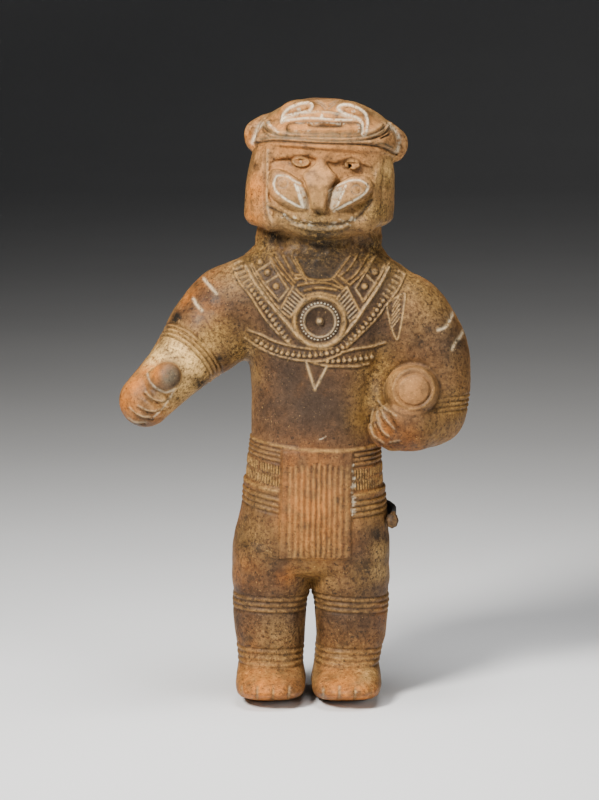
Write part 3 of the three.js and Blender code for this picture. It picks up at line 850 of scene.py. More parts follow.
def carve_collar(relief):
    """Straps of beads, boxes with dots, hatched panels and the disc on the chest."""
    relief.area(COLLAR_FIELD, 0.0, 1.5, dark=0.62)
    for strap, _, _ in STRAPS:
        relief.stroke(strap, 3.0, 0.15, dark=0.85)
    # Each raised border gets a shallow groove just under it, painted dark as its shadow.
    for border in (*LEFT_BORDERS, *RIGHT_BORDERS):
        relief.stroke(border, 0.9, 0.8, pale=0.05, tan=0.85)
        relief.stroke(np.array(border) + (0, -1.15), 0.9, -0.3, dark=0.8)
    relief.stroke(INNER_BORDER, 1.4, 1.15, pale=0.12, tan=1.0)
    # The inner border's shadow, painted into a groove under it.
    relief.stroke(np.array(INNER_BORDER) + (0, -1.6), 0.9, -0.35, dark=0.8)
    # Each arc too has a groove under it, painted dark as its shadow.
    for arc in CHEST_ARCS:
        relief.stroke(arc, 0.95, 0.8, pale=0.05, tan=0.8)
        relief.stroke(np.array(arc) + (0, -1.15), 0.9, -0.25, dark=0.6)
    for strap, pitch, slanted_above in STRAPS:
        for place, way in zip(*beads(strap, pitch)):
            across = np.array([-way[1], way[0]]) * (1 if way[0] > 0 else -1)
            if place[1] > slanted_above:
                ends = [place - 1.5 * across, place + 1.5 * across]
                relief.stroke(ends, 0.85, 0.9, pale=0.08, tan=0.9, straight=True)
                continue
            relief.dot(place - 0.3 * across, 1.1, 1.35, pale=0.1, tan=1.0)
            relief.stroke([place, place + 1.3 * across], 0.6, 0.7, tan=0.7, straight=True)
    for bar in BOX_BARS:
        relief.stroke(bar, 0.8, 0.6, pale=0.1, tan=0.8)
    for centre in BOX_DOTS:
        relief.ring(centre, 2.0, 0.6, -0.25, dark=0.6)
        relief.dot(centre, 1.6, 1.1, pale=0.06, tan=1.0)
    # These raised lines also get a groove under each, painted dark as its shadow.
    for line in (*NECK_LINES, *SMALL_BARS, *THROAT_ARCS):
        relief.stroke(line, 0.85, 0.7, tan=0.75)
        relief.stroke(np.array(line) + (0, -1.1), 0.8, -0.25, dark=0.8)
    relief.area(NECKLINE, -0.6, dark=0.9, smooth=False)
    relief.stroke(NECKLINE, 0.85, 0.5, tan=0.7)
    for corners in HATCHED:
        a, b, c, d = np.array(corners)
        relief.stroke([a, b, c, d, a], 0.8, 0.6, pale=0.05, tan=0.85, straight=True)
        for share in np.linspace(0.14, 0.86, 6):
            left, right = a + share * (b - a), d + share * (c - d)
            ends = [left + 0.12 * (right - left), right]
            relief.stroke(ends, 0.55, 0.55, pale=0.18, tan=0.8, straight=True)
    relief.ring(DISC, 11.5, 1.9, 1.4, pale=0.04, tan=0.85)
    # The grooves beside the raised ring are painted with shade.
    relief.ring(DISC, 13.3, 0.9, -0.4, dark=0.8)
    relief.ring(DISC, 9.7, 1.0, -0.5, dark=0.8)
    relief.ring(DISC, 7.2, 0.75, 0.7, pale=0.22, tan=0.7)
    relief.dot(DISC, 7.4, -2.3)
    relief.dot(DISC, 1.9, 2.7, pale=0.2, tan=0.8)
    for place in oval(DISC, 8.6, 8.6, DISC_BEADS):
        relief.dot(place, 0.5, 0.45, pale=0.6)
    for line in PENDANT:
        relief.stroke(line, 0.95, 0.7, pale=0.2, tan=0.9)
    relief.area(FEATHER, 0.2, dark=0.7)
    relief.stroke(FEATHER, 0.7, 0.6, pale=0.1, tan=0.95, closed=True)
    for k in range(6):
        low = 172 + 2.1 * k
        barb = [(36.2 + 0.2 * k, low), (40.4, low + 5.4)]
        relief.stroke(barb, 0.5, 0.5, pale=0.1, tan=0.95, straight=True)
    for line in SHOULDER_STROKES:
        relief.stroke(line, 1.15, -0.5, pale=0.4, tan=0.8)


# The headdress, an animal's face, in the head's own frame.
LEFT_EYE = [
    (-20.8, 51.1), (-20.3, 54.6), (-18.2, 57.3), (-14.7, 59.3), (-10.7, 60.7), (-7.9, 60.4),
    (-7.1, 58.9), (-8.2, 57.1), (-11.6, 56.1), (-16.1, 54.9), (-19.4, 53.3),
]
LEFT_EYE_INNER = [
    (-17.9, 55.1), (-16.8, 57.4), (-13.8, 58.8), (-10.7, 59.4), (-8.9, 58.5), (-9.9, 57.3),
    (-12.7, 56.4), (-15.5, 55.6),
]
RIGHT_EYE = [
    (4.4, 58.9), (5.8, 60.8), (9.8, 61.1), (13.9, 59.8), (17.2, 57.5), (18.5, 53.6), (17.9, 48.4),
    (16.4, 48.3), (15.8, 53.4), (12.5, 55.7), (7.8, 56.8),
]
RIGHT_EYE_INNER = [
    (6.8, 59), (8.7, 59.8), (12.2, 59.5), (15.1, 58.5), (16.5, 56.8), (14.7, 56.4), (10.7, 57),
    (8, 57.7),
]
PANEL = [
    (-18.4, 48.7), (-16.9, 50.6), (-10.1, 51.4), (3.6, 52.4), (12.7, 53), (15.3, 51.9), (15.7, 49.4),
    (14.2, 48), (3.9, 47.3), (-7.5, 46.6), (-16, 46.3), (-17.9, 47.3),
]
PANEL_DOTS = [
    (14.8, 51.9), (15.1, 50.8), (14.3, 49.7), (12.9, 49.5), (-14, 47.6), (-11, 47.9), (-8, 48.1),
]
SLIT = [(-7.7, 50.3), (-0.9, 50.4), (6.5, 51)]
WHITE_LINE = [(-20.4, 51.4), (-14.8, 52.8), (-8, 53.9), (-2.3, 53.9), (5.2, 53.9), (12.6, 54.5)]
BROW_LENS = [
    (-20.8, 51.1), (-14.9, 54.4), (-8.2, 56.3), (-3.1, 57.1), (3.2, 56.8), (9.1, 55.6), (14.9, 54.4),
]
TOOTH = [(-3.4, 54.2), (-2.7, 56.4), (-1.6, 54.3)]
CREST_LINES = [
    [(-6.2, 61.3), (-3.9, 60.6), (-1.4, 58.4)], [(-5.1, 61.9), (-2.7, 60.9), (-0.9, 59.4)],
    [(5.7, 62.4), (2.9, 61), (0.2, 58.5)], [(4, 62.5), (2, 61.6), (0.2, 60.2)],
]
ROLL_GROOVES = [
    [
        (-28.3, 50.2), (-28.6, 48), (-24.6, 45.4), (-17.6, 44.6), (-7.4, 45.3), (4, 45.8), (15.4, 46.9),
        (22.1, 48.7), (26.2, 51.8),
    ],
    [
        (-29.8, 42.5), (-24.4, 43.7), (-15.9, 44), (-4.4, 43.9), (7, 44.3), (18.3, 45.6), (25.6, 48.6),
        (28.8, 52),
    ],
    [(-32.2, 40.6), (-24.3, 42.1), (-7.2, 42.4), (7, 42.9), (18.5, 43.4), (26, 42.7), (32.5, 40)],
]
CURLS = [
    [(-25.8, 51.6), (-27.7, 49.8), (-26.9, 47.5), (-22.9, 45.5)],
    [(-29.6, 48.5), (-28.9, 46.2), (-26.2, 44.4)],
    [(25.3, 52.6), (26.2, 51.2), (24.7, 49.1), (18.8, 47.2)],
    [(28.5, 52), (28.7, 49.1), (25.1, 46.9)],
    [(22.5, 43.6), (25.9, 44.4), (30.6, 43)],
]
CURL_WASH = [(-27.1, 50.3), (-24.8, 48.3), (-22.3, 46.4)]
EAR_LINES = [
    [(-29.7, 49.9), (-31.6, 47.2), (-32.5, 44.3), (-33.4, 40.8)],
    [(27.8, 53.6), (31.2, 50.4), (33.1, 47.2), (33.3, 44.3), (32.7, 41.4)],
]


def carve_headdress(relief):
    """The animal's eyes, its mouth panel with a slit and the rolls around the rim."""
    relief.area(PANEL, 1.7, 1.0)
    # The panel's edge, the slit, the eyes' inner grooves, the crest lines, the roll grooves and the
    # curls are painted dark with shade.
    relief.stroke(PANEL, 1.0, -0.9, dark=0.9, closed=True)
    relief.stroke(SLIT, 1.35, -2.4, dark=1.0)
    top_row = [(across, 51.2 + 0.052 * (across + 13.5)) for across in np.linspace(-13.5, 13.6, 19)]
    for place in (*top_row, *PANEL_DOTS):
        relief.dot(place, 0.45, 0.35, pale=0.45)
    relief.stroke(WHITE_LINE, 0.7, 0.5, pale=0.8)
    # A groove under the white line is painted dark as its shadow.
    relief.stroke(np.array(WHITE_LINE) - (0, 1.3), 0.9, -0.35, dark=0.4)
    relief.stroke(BROW_LENS, 0.8, 0.5, pale=0.3, tan=0.4)
    relief.area(TOOTH, 0.3, 0.4, smooth=False, pale=0.9)
    for outer, inner in ((LEFT_EYE, LEFT_EYE_INNER), (RIGHT_EYE, RIGHT_EYE_INNER)):
        relief.area(outer, 0.4, 0.7)
        relief.stroke(outer, 0.9, 0.5, pale=0.85, closed=True)
        relief.stroke(inner, 0.7, -0.45, dark=0.35, closed=True)
        relief.dot(np.mean(inner, axis=0), 1.1, 0.4, pale=0.5)
    for line in CREST_LINES:
        relief.stroke(line, 0.7, -0.5, pale=0.15, dark=0.6)
    for groove in ROLL_GROOVES:
        relief.stroke(groove, 1.0, -1.1, dark=0.95)
        relief.stroke(np.array(groove) + (0, 1.6), 1.8, 0.75, pale=0.08, tan=0.3)
    for curl in CURLS:
        relief.stroke(curl, 0.8, -0.8, dark=1.0)
    relief.stroke(CURL_WASH, 0.9, 0.1, pale=0.5)
    for line in EAR_LINES:
        relief.stroke(line, 1.3, -0.1, pale=0.6)


# The mask's lines in the head's frame.
MASK_CREASES = [
    [(-24.3, 32.3), (-21.5, 33.3), (-17, 34.1), (-14, 34.9)],
    [(-8, 36), (-5, 35)],
    [(1.7, 33.9), (4.8, 33.6), (7.6, 34.6)],
    [(15.4, 34.7), (19.2, 33.2), (22, 32.9)],
]
CHEEK_LINES = [
    [(-22.4, 22.9), (-21.8, 25.6), (-20.4, 26.7), (-16.4, 26.5), (-13.4, 24.7), (-10.4, 23.6)],
    [
        (2.9, 21), (6.7, 23.8), (10.1, 25.6), (13.4, 26.9), (17.4, 26.9), (20.6, 24.8), (20.3, 22.5),
        (17.9, 19.7), (11.9, 15.6), (5.9, 12),
    ],
]
CHEEK_WHITES = [
    [(-22.5, 22.6), (-21.8, 20.4), (-19.8, 18.2), (-15.6, 15.6), (-10.9, 13.4), (-8.4, 12.8)],
    [(20.4, 23.6), (19.5, 21.6), (16.3, 18.7), (10.8, 15.3), (5.9, 12.1)],
    [(-12.7, 23.2), (-8.6, 13)], [(-11.5, 22.3), (-8, 12.7)],
    [(10.5, 24.1), (7.1, 14.4)],
]
CHEEK_STIPPLE = [
    [(-11.2, 22.4), (-8.6, 21.6), (-6.2, 16.8), (-5.4, 12.2), (-7.6, 12.2)],
    [(2.9, 19.8), (6.2, 22.8), (9.6, 23.4), (7.2, 15.2), (5.4, 12.3), (2.8, 14)],
]
CHEEK_EYES = [(-18.2, 23.2), (15.4, 22.5)]
MOUTH = [
    (-24.7, 12.1), (-20.4, 10.7), (-16.3, 8.7), (-12.1, 6.1), (-6.8, 5), (1.2, 5.3), (9.2, 6.2),
    (15.3, 8.6), (19.1, 12.3), (22.6, 18.3),
]
LOWER_LIP = [(-13, 5.2), (-10.3, 4.2), (-4.4, 3.2), (3.6, 3.4), (9.8, 4.8), (13, 6.6)]
MASK_EYES = [
    {"centre": (-10.7, 33.5), "half_wide": 3.5},
    {"centre": (12.7, 34.0), "half_wide": 2.9},
]
EYE_HEIGHT = 1.7
FLAP_LINES = [
    [(-27.5, 38.9), (-27.4, 33.2), (-26.8, 25.2), (-26.4, 16.1), (-25.4, 9.4), (-22.5, 3.2)],
    [(27.2, 38.2), (27.3, 29), (27.7, 19.8), (28, 11.8)],
]


def carve_mask(relief):
    """The face: ringed eyes, a plate for a nose, and cheeks that repeat an animal's eye."""
    # Grooves, creases, the mouth and the pits below are painted dark with shade.
    for eye in MASK_EYES:
        centre, wide = eye["centre"], eye["half_wide"]
        relief.stroke(oval(centre, wide, EYE_HEIGHT), 0.8, 0.85, tan=0.5, closed=True)
        relief.stroke(oval(centre, wide + 1.3, EYE_HEIGHT + 1.0), 0.8, -0.4, dark=0.45, closed=True)
    relief.ring(MASK_EYES[0]["centre"], 1.2, 0.55, -0.4, dark=0.35)
    relief.dot(MASK_EYES[0]["centre"], 0.7, 0.4, pale=0.3)
    for crease in MASK_CREASES:
        relief.stroke(crease, 0.9, -0.4, dark=0.45)
    for line in CHEEK_LINES:
        relief.stroke(line, 0.65, -0.42, pale=0.65, dark=0.2)
    for line in CHEEK_WHITES:
        relief.stroke(line, 0.68, -0.35, pale=0.95)
    random = np.random.default_rng(11)
    for corners in CHEEK_STIPPLE:
        relief.area(corners, -0.08, 0.4, smooth=False, pale=0.36)
        low, high = np.min(corners, axis=0), np.max(corners, axis=0)
        for place in random.uniform(low, high, (70, 2)):
            if outline_distance(np.array(corners), place[0], place[1]) < -0.3:
                relief.dot(place, 0.4, -0.25, dark=0.5)
    for centre in CHEEK_EYES:
        relief.ring(centre, 2.2, 0.55, -0.3, pale=0.12, dark=0.3)
        relief.dot(centre, 1.1, 0.3, tan=0.2)
    relief.stroke(MOUTH, 1.6, -0.9, dark=1.0)
    relief.stroke(LOWER_LIP, 1.3, 0.7, pale=0.1, tan=0.3)
    # A groove under the lower lip is painted dark as its shadow.
    relief.stroke(np.array(LOWER_LIP) - (0, 1.9), 1.1, -0.45, dark=0.6)
    for place in random.uniform((-18, 4.5), (18, 10), (80, 2)):
        height = np.interp(place[0], *np.array(MOUTH).T)
        if abs(place[1] - height) < 2.2 and abs(place[0]) > 4:
            relief.dot(place, random.uniform(0.3, 0.75), 0.03, pale=random.uniform(0.3, 0.9))
    # A pit under the nose, painted dark with shade.
    relief.dot((-1.3, 10.4), 3.0, -0.8, dark=0.8)


def carve_flaps(relief):
    """The lines down the flaps of the helmet beside the face."""
    # The grooves are painted dark with shade.
    relief.stroke(FLAP_LINES[0], 0.9, -0.45, dark=0.5)
    relief.stroke(np.array(FLAP_LINES[0]) + (1.3, 0), 1.0, 0.25, pale=0.12, tan=0.4)
    relief.stroke(FLAP_LINES[1], 1.0, -0.35, dark=0.4)


# Where the apron's grooves run on the sheet, across, and the lines on the hands and fingers.
APRON_GROOVES = (-11.3, -8.6, -5.8, -3.0, -0.3, 2.2, 4.7, 7.2, 9.7, 12.3, 15.2)
HAND_LINES = [
    [(-77.3, 142), (-73.9, 138.7), (-70.2, 137.6), (-67.4, 138.7)],
    [(-73.4, 138.3), (-68.8, 137.8), (-66, 140.1)],
    [(-80.8, 135.7), (-77.2, 133.7), (-73.5, 133.1), (-70, 134.3)],
    [(-85, 135), (-82.7, 132.7), (-79, 130.7), (-75.3, 130.3)],
    [(-85.5, 129.9), (-82.7, 128.1), (-80, 127.8), (-77.4, 128)],
    [(27.6, 134), (26.8, 128.1), (27.7, 122.3), (32.6, 118.2)],
    [(29.6, 134.5), (30, 128.7), (32, 124), (34.9, 121.4)],
    [(31.4, 134), (33.1, 129.9), (37.5, 124.9)],
    [(29.9, 138), (32.5, 135.1), (38.3, 131)],
    [(35.5, 118.5), (40.1, 119.4)],
]
FINGER_WHITES = [
    [(-63.7, 144.3), (-66.1, 139.2), (-70.2, 134.1), (-74, 130.6)],
    [(-75.9, 151.5), (-75.2, 148.5), (-73.4, 146.2), (-71.1, 144.3), (-67.4, 142.7), (-64.4, 143.9)],
]
BELLY_SCRATCH = [(3.4, 120.8), (5.0, 121.3), (6.3, 122.3)]


def carve_apron_and_hands(relief):
    """The apron's ribs, the lines of the hands, the toes' edges and the rings on the ball."""
    random = np.random.default_rng(5)
    for k, at in enumerate(APRON_GROOVES):
        deep = 0.28 + 0.28 * math.exp(-(((at - 3.5) / 7) ** 2))
        levels = np.linspace(109.5 - 2.5 * random.random(), 65.6, 9)
        line = [(at + random.uniform(-0.25, 0.25) - 0.012 * (109 - v), v) for v in levels]
        # Each groove is painted darker the deeper it is: painted shade.
        relief.stroke(line, 0.95, -deep, dark=1.1 * deep + 0.1)
        relief.stroke(np.array(line) + (1.25, 0), 1.0, 0.16, tan=0.35)
    for share in random.uniform(0, 1, 18) ** 1.3:
        place = (19.2 - 0.6 * share + random.uniform(-0.4, 0.9), 109 - 26 * share)
        relief.dot(place, random.uniform(0.4, 1.0), 0.06, pale=0.75)
    for line in HAND_LINES:
        # The hands' lines are painted dark with shade.
        relief.stroke(line, 0.85, -0.75, dark=0.55)
        relief.stroke(np.array(line) + (0.5, 0.9), 0.7, 0.3, pale=0.15, tan=0.5)
    for line in FINGER_WHITES:
        relief.stroke(line, 0.6, -0.15, pale=0.45)
    relief.stroke(BELLY_SCRATCH, 0.4, -0.2, pale=0.45)
    for leg in LEGS:
        for gap in toe_gaps(leg):
            across = 1.019 * gap + 0.1
            tick = [(across, -2.0), (across + 0.3, random.uniform(2.6, 4.6))]
            relief.stroke(tick, 0.8, 0.2, pale=random.uniform(0.0, 0.12), tan=0.6)
    for k in range(7):
        line = [(36.5 + 1.3 * k, 128.5), (38.3 + 1.1 * k, 123), (36.8 + 1.0 * k, 117.5)]
        # Faint lines, lightly painted with shade.
        relief.stroke(line, 0.5, -0.14, dark=0.15)
    # The groove round the ball's disc is painted with shade.
    relief.ring(BALL["disc_seen"], 8.0, 0.9, -1.0, dark=0.25)
    relief.ring(BALL["disc_seen"], 9.5, 1.1, 0.45, tan=0.2)
    # A shallow groove round the ball, painted dark as the shadow along its edge.
    relief.ring(BALL["seen"], 12.9, 1.2, -0.25, dark=0.5)


def noise(points, size, seed):
    """Smooth random values from -1 to 1 that change over a size in millimetres."""
    lattice = np.random.default_rng(seed).uniform(-1, 1, (32, 32, 32)).astype(np.float32)
    place = points / size
    cell = np.floor(place).astype(int)
    t = place - cell
    t = t * t * (3 - 2 * t)
    value = 0
    for corner in np.ndindex(2, 2, 2):
        i = (cell + corner) % 32
        share = np.prod(np.where(corner, t, 1 - t), axis=1)
        value = value + share * lattice[i[:, 0], i[:, 1], i[:, 2]]
    return value


def in_groove(away, width):
    """How deep a place lies in a groove, from 0 to 1, for its distance from the middle."""
    return np.exp(-GROOVE_FADE * (away / width) ** 2)


def clear_of_apron(points, sheet):
    """Zero on the apron, and one beside it and on the back."""
    beside = smooth_step(outline_distance(np.array(APRON, float), *sheet), 0.2, 1.2)
    return np.where(points[:, 1] < 0, beside, 1)


def tick_rows(points, sheet):
    """Around the belt counted in ticks, and how far each place lies in a row of them."""
    x, y, z = points.T
    level = z - belt_sag(x, z)
    turns = np.abs(np.degrees(np.arctan2(x - 1, -y))) * TICK_ARC / TICK_PITCH
    clear = clear_of_apron(points, sheet)
    rows = np.zeros(len(points), np.float32)
    for low, high in TICK_ROWS:
        inside = smooth_step(level, low, low + 0.6) * (1 - smooth_step(level, high - 0.6, high))
        rows = np.maximum(rows, inside * clear)
    return turns, rows * (np.abs(x) < 40)


class Bands:
    """Grooved bands: how deep each place lies, and how much tan is painted on the ridges between
    grooves.
    """

    def __init__(self, count):
        self.depth, self.tan_share = np.zeros((2, count), np.float32)

    def add(self, at, levels, grooves, width, deep, allowed=1.0):
        """Grooves at levels, with the ridges between them raised a little and painted tan."""
        for groove in grooves:
            self.depth[at] -= deep * in_groove(levels - groove, width) * allowed
        for low, high in zip(grooves[:-1], grooves[1:]):
            away = (levels - 0.5 * (low + high)) / (high - low)
            ridge = np.exp(-RIDGE_FADE * away**2) * allowed
            self.depth[at] += 0.25 * deep * ridge
            self.tan_share[at] = np.maximum(self.tan_share[at], 0.36 * ridge)


def carve_belt(bands, points, sheet):
    """The belt's rolls above and below, a ridge beside each, and the rows of ticks between."""
    x, _, z = points.T
    at = np.flatnonzero((z > 80) & (z < 128) & (np.abs(x) < 40))
    level = (z - belt_sag(x, z))[at]
    clear = clear_of_apron(points[at], sheet[:, at])
    bands.add(at, level, LOWER_BELT_GROOVES, 0.9, 0.65, clear)
    bands.add(at, level, UPPER_BELT_GROOVES, 0.85, 0.6, clear)
    # The two ledges are raised and painted pale along their crests: a painted highlight.
    for height, allowed in zip(BELT_RIDGES, (clear, 1)):
        ridge = in_groove(level - height, 1.05)
        bands.depth[at] += 0.5 * ridge * allowed
        bands.tan_share[at] = np.maximum(bands.tan_share[at], 0.7 * ridge * allowed)
    turns, rows = tick_rows(points[at], sheet[:, at])
    ticked = smooth_step(np.abs(2 * np.mod(turns, 1) - 1), 0.75, 0.25)
    bands.depth[at] += (0.8 * ticked - 0.5) * rows


def carve_legs(bands, points):
    """The bands at the knees and ankles, and the gaps between the toes."""
    x, y, z = points.T
    for leg in LEGS:
        side = (x < -1.5) if leg["x"] < 0 else (x > -1.5)
        at = np.flatnonzero(side & (z < 54))
        level = z[at] + 0.03 * (x - leg["x"])[at]
        for grooves in (ANKLE_GROOVES, KNEE_GROOVES):
            bands.add(at, level, grooves, 0.85, 0.55)
        fade = side * smooth_step(-y, 24, 30) * (1 - smooth_step(z, 9, 13.5))
        for gap in toe_gaps(leg):
            bands.depth -= 0.85 * in_groove(x - gap, 1.3) * fade


def carve_arms(bands, points):
    """The band outside the right elbow, and the one around the left arm, square to its length."""
    x, _, z = points.T
    at = np.flatnonzero((x > 54) & (z > 132) & (z < 148))
    bands.add(at, z[at], RIGHT_ARM_GROOVES, 0.75, 0.45, smooth_step(x[at], 55.5, 58.5))
    at = np.flatnonzero((x < -38) & (z < 186))
    places, p = limb_path(LEFT_ARM, 8)[0], points[at]
    lengths = np.linalg.norm(np.diff(places, axis=0), axis=1)
    starts = np.concatenate([[0], np.cumsum(lengths)])
    best, along = np.full(len(at), FAR), np.zeros(len(at))
    for a, b, start, length in zip(places[:-1], places[1:], starts, lengths):
        t = np.clip((p - a) @ (b - a) / length**2, 0, 1)
        away = np.linalg.norm(p - a - t[:, None] * (b - a), axis=1)
        along = np.where(away < best, start + t * length, along)
        best = np.minimum(best, away)
    bands.add(at, along, np.array(LEFT_ARM_GROOVES) * starts[-1], 0.8, 0.95)


# The collar's edge around the back, across and up, and how far down its two lines lie. Then the
# grooves of the headband in the head's frame, and how far from the neck line its crust reaches.
YOKE = np.array([(-37, 200), (-18, 189), (3, 185), (23, 189), (43, 198)])
YOKE_DROPS = (0, 6)
HEADBAND_GROOVES = (41.6, 45.2)
NECK_CRUST = 6.5


def carve_headband(points, above):
    """The headdress's rim carried on around the sides and the back of the head."""
    across, up = to_head(points[:, 0], points[:, 2])
    tilt = up + 0.15 * points[:, 1]
    behind = smooth_step(points[:, 1], -14, -4) * above * (np.abs(across) < 31)
    rolls = np.zeros(len(points), np.float32)
    for level in HEADBAND_GROOVES:
        rolls -= 0.5 * in_groove(tilt - level, 1.0) * behind
    return rolls


def skin_grain(points):
    """Uneven modelling all over, and a rough crust around the neck."""
    grain = 0.24 * noise(points, 9, 1) + 0.1 * noise(points, 4, 2)
    neck = np.exp(-(((points[:, 2] - NECK_LINE) / NECK_CRUST) ** 2))
    return grain + neck * (0.6 * noise(points, 1.9, 4) + 0.4 * noise(points, 4.5, 5))


def carve(points, normals):
    """All the carving at some places on the skin: its height, and the colours painted in it, painted
    shade among them.
    """
    sheet = np.stack(on_sheet(*points.T))
    head = np.stack(to_head(*sheet))
    front = smooth_step(-normals[:, 1], 0.05, 0.3)
    behind = smooth_step(normals[:, 1], 0.1, 0.4)
    above = points[:, 2] > NECK_LINE
    under_rim = front * above * (head[1] < HEADDRESS_RIM)
    in_face = outline_distance(curve(FACE_OPENING, 4, closed=True), *head) < 1.5
    body, face = Relief(*sheet, front * ~above), Relief(*head, front * above)
    mask, flaps = Relief(*head, under_rim * in_face), Relief(*head, under_rim)
    back = Relief(points[:, 0], points[:, 2], behind * ~above)
    carve_collar(body)
    carve_apron_and_hands(body)
    carve_headdress(face)
    carve_mask(mask)
    carve_flaps(flaps)
    for drop in YOKE_DROPS:
        back.stroke(YOKE - (0, drop), 1.0, 0.6, tan=0.6)
    bands = Bands(len(points))
    carve_belt(bands, points, sheet)
    carve_legs(bands, points)
    carve_arms(bands, points)
    rolls = carve_headband(points, above)
    reliefs = (body, face, mask, flaps, back)
    height = sum(relief.height() for relief in reliefs) + bands.depth + rolls + skin_grain(points)
    # The bands' grooves are painted darker the deeper they are: painted shade.
    band_shade = np.clip(-0.75 * (bands.depth + rolls), 0, 1)
    pale = np.maximum.reduce([relief.pale for relief in reliefs])
    dark = np.maximum.reduce([relief.dark for relief in reliefs] + [band_shade])
    tan = np.maximum.reduce([relief.tan for relief in reliefs] + [bands.tan_share])
    return height, pale, dark, tan


def vertex_arrays(mesh):
    """Places in millimetres from the midline, and normals, of a mesh's vertices."""
    count = len(mesh.vertices)
    places, normals = np.empty(count * 3, np.float32), np.empty(count * 3, np.float32)
    mesh.vertices.foreach_get("co", places)
    mesh.vertex_normals.foreach_get("vector", normals)
    return places.reshape(-1, 3) / MM - MIDLINE, normals.reshape(-1, 3)


def mesh_from(name, points, triangles, quads):
    """A mesh in metres in the part's frame, made from arrays of places and corners."""
    mesh = bpy.data.meshes.new(name)
    corners = np.concatenate([np.asarray(triangles).reshape(-1), np.asarray(quads).reshape(-1)])
    sizes = np.concatenate([np.full(len(triangles), 3), np.full(len(quads), 4)])
    starts = np.concatenate([[0], np.cumsum(sizes)[:-1]])
    mesh.vertices.add(len(points))
    mesh.loops.add(len(corners))
    mesh.polygons.add(len(sizes))
    mesh.vertices.foreach_set("co", ((points + MIDLINE) * MM).astype(np.float32).ravel())
    mesh.loops.foreach_set("vertex_index", corners.astype(np.int32))
    mesh.polygons.foreach_set("loop_start", starts.astype(np.int32))
    mesh.polygons.foreach_set("loop_total", sizes.astype(np.int32))
    mesh.update(calc_edges=True)
    mesh.validate()
    return mesh


def carved_figurine():
    """The clay meshed, carved along its normals and thinned to its number of triangles."""
    clay = build_clay()
    points, triangles, quads = clay.mesh_arrays()
    mesh = mesh_from("figurine_clay", points, triangles, quads)
    figurine = bpy.data.objects.new("figurine_clay", mesh)
    bpy.context.scene.collection.objects.link(figurine)
    places, normals = vertex_arrays(mesh)
    height = carve(places, normals)[0]
    standing = smooth_step(places[:, 2], 0.0, 1.5)
    moved = places + normals * (height * standing)[:, None]
    mesh.vertices.foreach_set("co", ((moved + MIDLINE) * MM).astype(np.float32).ravel())
    mesh.update()
    thin = figurine.modifiers.new("thin", "DECIMATE")
    thin.ratio = min(1.0, TRIANGLES / (len(triangles) + 2 * len(quads)))
    thin.use_collapse_triangulate = True
    bpy.context.view_layer.update()
    evaluated = figurine.evaluated_get(bpy.context.evaluated_depsgraph_get())
    thinned = bpy.data.meshes.new_from_object(evaluated)
    figurine.modifiers.clear()
    figurine.data = thinned
    bpy.data.meshes.remove(mesh)
    thinned.name = "figurine_clay"
    thinned.polygons.foreach_set("use_smooth", np.ones(len(thinned.polygons), bool))
    return figurine


